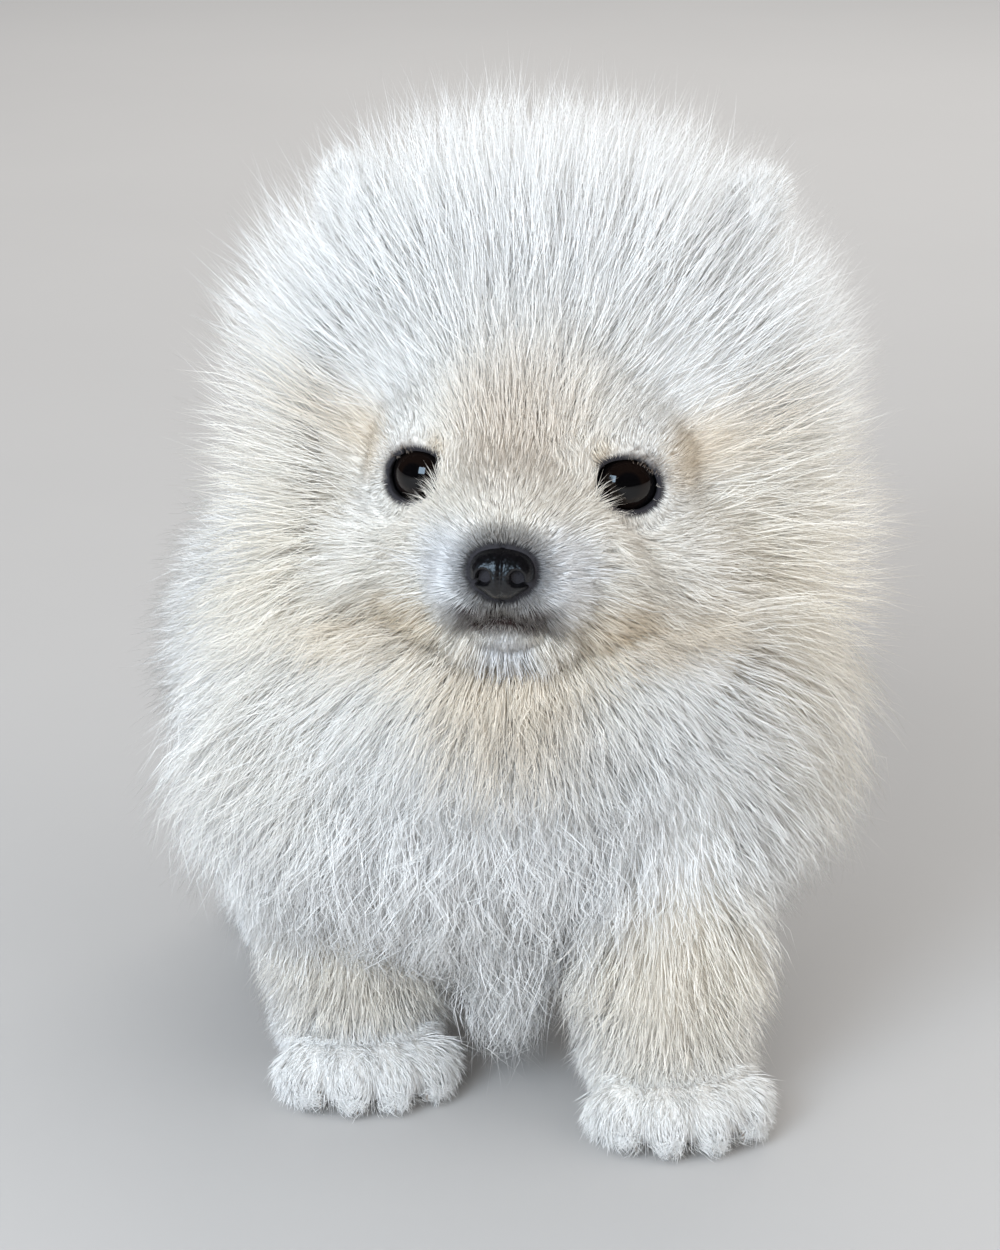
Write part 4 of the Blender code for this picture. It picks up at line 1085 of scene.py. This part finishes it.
LONG_STATIONS = np.array((0.0, 0.30, 0.68, 1.0))
LONG_TAPER = np.array((0.0, 1.0, 0.72, 0.0))
SHORT_STATIONS = np.array((0.0, 0.42, 1.0))
SHORT_TAPER = np.array((0.0, 1.0, 0.0))
WAVY_STATIONS = np.array((0.0, 0.18, 0.36, 0.54, 0.76, 1.0))
WAVY_TAPER = np.array((0.0, 0.9, 1.0, 0.9, 0.62, 0.0))


def groom(skin):
    """Everything that shapes each hair, as arrays by name."""
    p, uv = scatter(skin, HAIRS)
    n = gradient(skin_distance, p)
    weights = region_weights(p)
    lie = lies(p, weights)
    lie -= (lie * n).sum(1, keepdims=True) * n
    size = norm(lie, axis=1, keepdims=True)
    lie /= np.maximum(size, 1e-6)
    clumps = np.arange(CLUMPS) * (len(p) // CLUMPS)
    tree = KDTree(len(clumps))
    for k, c in enumerate(clumps):
        tree.insert(p[c], k)
    tree.balance()
    home = np.array([tree.find(Vector(one))[1] for one in p])
    own = rng.normal(size=(len(p), 3))
    shared = rng.normal(size=(len(clumps), 3))[home]
    q = to_head(p)
    from_nose = span(q, NOSE_PLACE)
    fine = np.interp(from_nose, (0.02, 0.06), (0.45, 1.0))
    lean0 = np.radians(blended(LEAN_ROOT, weights))
    lean1 = np.radians(blended(LEAN_TIP, weights))
    flat = weights[:, 0] * np.interp(from_nose, (0.012, 0.030, 0.055), (28, 24, 0))
    flat *= 0.15 + 0.85 * smooth(q[:, 2] - 0.2 * np.abs(q[:, 0]), -0.016, -0.005)
    lean0 += np.radians(flat)
    lean1 += np.radians(flat * 0.8)
    front = weights[:, 0] * smooth(-(n @ HEAD_AXES)[:, 1], 0.10, 0.80)
    front *= np.interp(from_nose, (0.026, 0.050), (0, 1)) * smooth(q[:, 2], -0.020, 0.010)
    lean0 += np.radians(24) * front
    lean1 += np.radians(16) * front
    lean0 += 0.12 * own[:, 0] + 0.06 * shared[:, 0]
    lean1 += 0.11 * own[:, 1] + 0.08 * shared[:, 1]
    turn = (0.20 * own[:, 2] + 0.13 * shared[:, 2]) * fine
    side = np.cross(n, lie)
    lie = lie * np.cos(turn)[:, None] + side * np.sin(turn)[:, None]
    way = n * np.cos((lean0 + lean1) / 2)[:, None] + lie * np.sin((lean0 + lean1) / 2)[:, None]
    length = hair_lengths(p, way, weights)
    uneven = rng.random(len(p))
    length = length * (0.92 + 0.16 * uneven) * (0.95 + 0.12 * rng.random(CLUMPS)[home])
    under = (rng.random(len(p)) < UNDER_SHARE) & (length > SHORT)
    length[under] *= 0.55 + 0.43 * rng.random(under.sum())
    wisp = ~under & (rng.random(len(p)) < 0.12)
    length[wisp] *= 1.12
    pad = span(mirrored(q), WHISKER_BED) < 0.0040
    whisker = pad & (rng.random(len(p)) < 0.02)
    length[whisker] = 0.012 + 0.012 * uneven[whisker]
    wisp |= whisker
    return {
        "p": p, "uv": uv, "n": n, "lie": lie, "weights": weights, "home": home, "guide": clumps,
        "lean0": lean0, "lean1": lean1, "length": length, "wisp": wisp, "under": under,
        "thick": blended(THICKNESS, weights) * (0.80 + 0.4 * rng.random(len(p))),
        "pull": blended(CLUMPING, weights) * (0.55 + 0.45 * rng.random(len(p))),
        "curl": blended(CURL, weights) * (0.5 + rng.random(CLUMPS)[home]),
        "phase": (2 * math.pi * rng.random(CLUMPS))[home] + 0.3 * rng.normal(size=len(p)),
        "uneven": rng.normal(size=len(p)),
    }


def strands_of(g, chosen, stations, taper):
    """The chosen hairs' meshes: their lines drawn together into clumps and lifted off the skin."""
    guide = g["guide"][g["home"][chosen]]
    length, wisp = g["length"][chosen], g["wisp"][chosen]
    line = curves(g, chosen, stations)
    pull = np.where(wisp, 0.1, g["pull"][chosen])[:, None] * (stations ** 1.4)[None, :]
    led = np.clip(length / np.maximum(g["length"][guide], 1e-6), 0, 1) > 0.4
    line = line + (pull * led[:, None])[:, :, None] * (curves(g, guide, stations) - line)
    thick = np.minimum(np.where(wisp, 0.6, 1.0) * g["thick"][chosen], length * 0.035)
    tones = hair_colours(g["p"][chosen], stations, g["uneven"][chosen])
    return strands(keep_out(line), thick, g["uv"][chosen], tones, taper)


PIECES = (
    ("face", ("head",)),
    ("crown", ("head", "ear_left", "ear_right")),
    ("ruff", ("neck", "chest")),
    ("back", ("torso",)),
    ("plume", ("tail",)),
    ("limbs", ("foreleg_left", "foreleg_right", "hindleg_left", "hindleg_right")),
    ("feet", ("forepaw_left", "forepaw_right", "hindpaw_left", "hindpaw_right")),
)
MOST_TRIANGLES = 190000
FACE_COAT = 0.036


def make_coat(skin, finish):
    """The coat's pieces, each with fewer triangles than the limit."""
    g = groom(skin)
    region = g["weights"].argmax(1)
    which = np.where((region == 0) & near_face(g["p"], FACE_COAT), 0, region + 1)
    wavy = (region == 1) & (g["p"][:, 1] < -0.020) & (g["length"] > 0.010)
    wavy &= ~g["under"] & (rng.random(len(region)) < 0.75)
    short = (g["length"] < SHORT) | g["under"]
    total = 0
    for piece, (name, nodes) in enumerate(PIECES):
        mine = which == piece
        groups = []
        for mask, stations, taper in (
            (short, SHORT_STATIONS, SHORT_TAPER),
            (~short & ~wavy, LONG_STATIONS, LONG_TAPER),
            (wavy & ~short, WAVY_STATIONS, WAVY_TAPER),
        ):
            chosen = np.flatnonzero(mine & mask)
            if len(chosen):
                groups.append((chosen, stations, taper, 6 * (len(stations) - 2)))
        load = sum(len(c) * t for c, _, _, t in groups)
        parts = max(1, math.ceil(load / MOST_TRIANGLES))
        for part in range(parts):
            made = [strands_of(g, chosen[part::parts], s, t) for chosen, s, t, _ in groups]
            add_coat(f"coat_{name}_{part + 1}", made, finish, nodes)
        total += load
    print("hairs", len(region), "triangles", total)


CAMERA_AZIMUTH = math.radians(-10.0)
CAMERA_HEIGHT = math.radians(19.0)
CAMERA_RANGE = 0.700
FOCAL_PIXELS = 4000.0
IMAGE = (1000, 1250)
AIM = np.array((-0.0075, -0.067, 0.117))
AIM_ROW = 576


def make_camera():
    """The camera at the photograph's angle, level with the aim point's column and row."""
    az, el = CAMERA_AZIMUTH, CAMERA_HEIGHT
    back = Vector((math.sin(az) * math.cos(el), -math.cos(az) * math.cos(el), math.sin(el)))
    right = Vector((math.cos(az), math.sin(az), 0.0))
    up = back.cross(right)
    rise = (IMAGE[1] / 2 - AIM_ROW) / FOCAL_PIXELS
    place = Vector(AIM + SHIFT) + back * CAMERA_RANGE - up * rise * CAMERA_RANGE
    data = bpy.data.cameras.new("camera")
    data.sensor_width = 36.0
    data.lens = FOCAL_PIXELS * data.sensor_width / IMAGE[1]
    data.clip_start, data.clip_end = 0.05, 20.0
    camera = placed("camera", data)
    camera.matrix_world = Matrix.Translation(place) @ Matrix((right, up, back)).transposed().to_4x4()
    bpy.context.scene.camera = camera


def add_light(name, place, aim, size, power, colour, shown=False):
    """A soft square light that looks at a point; the eyes and the nose mirror it only if it is shown."""
    data = bpy.data.lights.new(name, "AREA")
    data.shape = "SQUARE"
    data.size = size
    data.energy = power
    data.color = colour
    light = placed(name, data)
    way = Vector(aim) - Vector(place)
    light.matrix_world = Matrix.Translation(place) @ way.to_track_quat("-Z", "Y").to_matrix().to_4x4()
    light.visible_glossy = shown


def make_stage():
    """The plain floor, the sky and the lights."""
    bm = bmesh.new()
    bmesh.ops.create_grid(bm, x_segments=8, y_segments=8, size=3.0)
    floor = placed("floor", mesh_of("floor", bm))
    floor.data.materials.append(plain_material(*FLOOR))
    world = bpy.data.worlds.new("sky")
    world.use_nodes = True
    sky = world.node_tree.nodes["Background"].inputs
    sky["Color"].default_value = (0.93, 0.96, 1.0, 1)
    sky["Strength"].default_value = 0.76
    world.cycles_visibility.glossy = False
    bpy.context.scene.world = world
    bpy.context.scene.view_settings.view_transform = "Standard"
    middle = (0.0, 0.0, 0.09)
    add_light("key", (-0.85, -1.10, 0.85), middle, 1.10, 18.0, (0.96, 0.97, 1.0))
    add_light("window", (-0.58, -0.80, 0.52), middle, 0.36, 6.0, (0.60, 0.80, 1.0), True)
    add_light("fill", (1.10, -0.80, 0.60), middle, 2.20, 13.5, (1.0, 0.97, 0.93))
    add_light("rim", (0.35, 0.95, 0.80), middle, 0.80, 6.0, (1.0, 0.98, 0.95))


def dress(obj, finish, slot, *nodes):
    """Gives a piece its finish and its body, and hides the nodes that it stands for."""
    obj.data.materials.append(finish)
    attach(obj, "root")
    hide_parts(*nodes)


def main():
    """Builds the scene."""
    make_camera()
    make_stage()
    skin = make_skin()
    paint_skin(skin)
    make_coat(skin, plain_material(*FUR))
    set_places(skin, places_of(skin) + SHIFT)
    dress(skin, skin_material(), "coat", *FLESH)
    dress(make_nose(), nose_material(), "nose", "nose")
    eye = plain_material(*EYE)
    dress(make_eye("eyeball_left", 1), eye, "eye", "eye_left")
    dress(make_eye("eyeball_right", -1), eye, "eye", "eye_right")
    horn = plain_material(*HORN)
    dress(make_claws("claws_fore", FORE_FEET), horn, "nose", "forepaw_left", "forepaw_right")
    dress(make_claws("claws_hind", HIND_FEET), horn, "nose", "hindpaw_left", "hindpaw_right")


main()
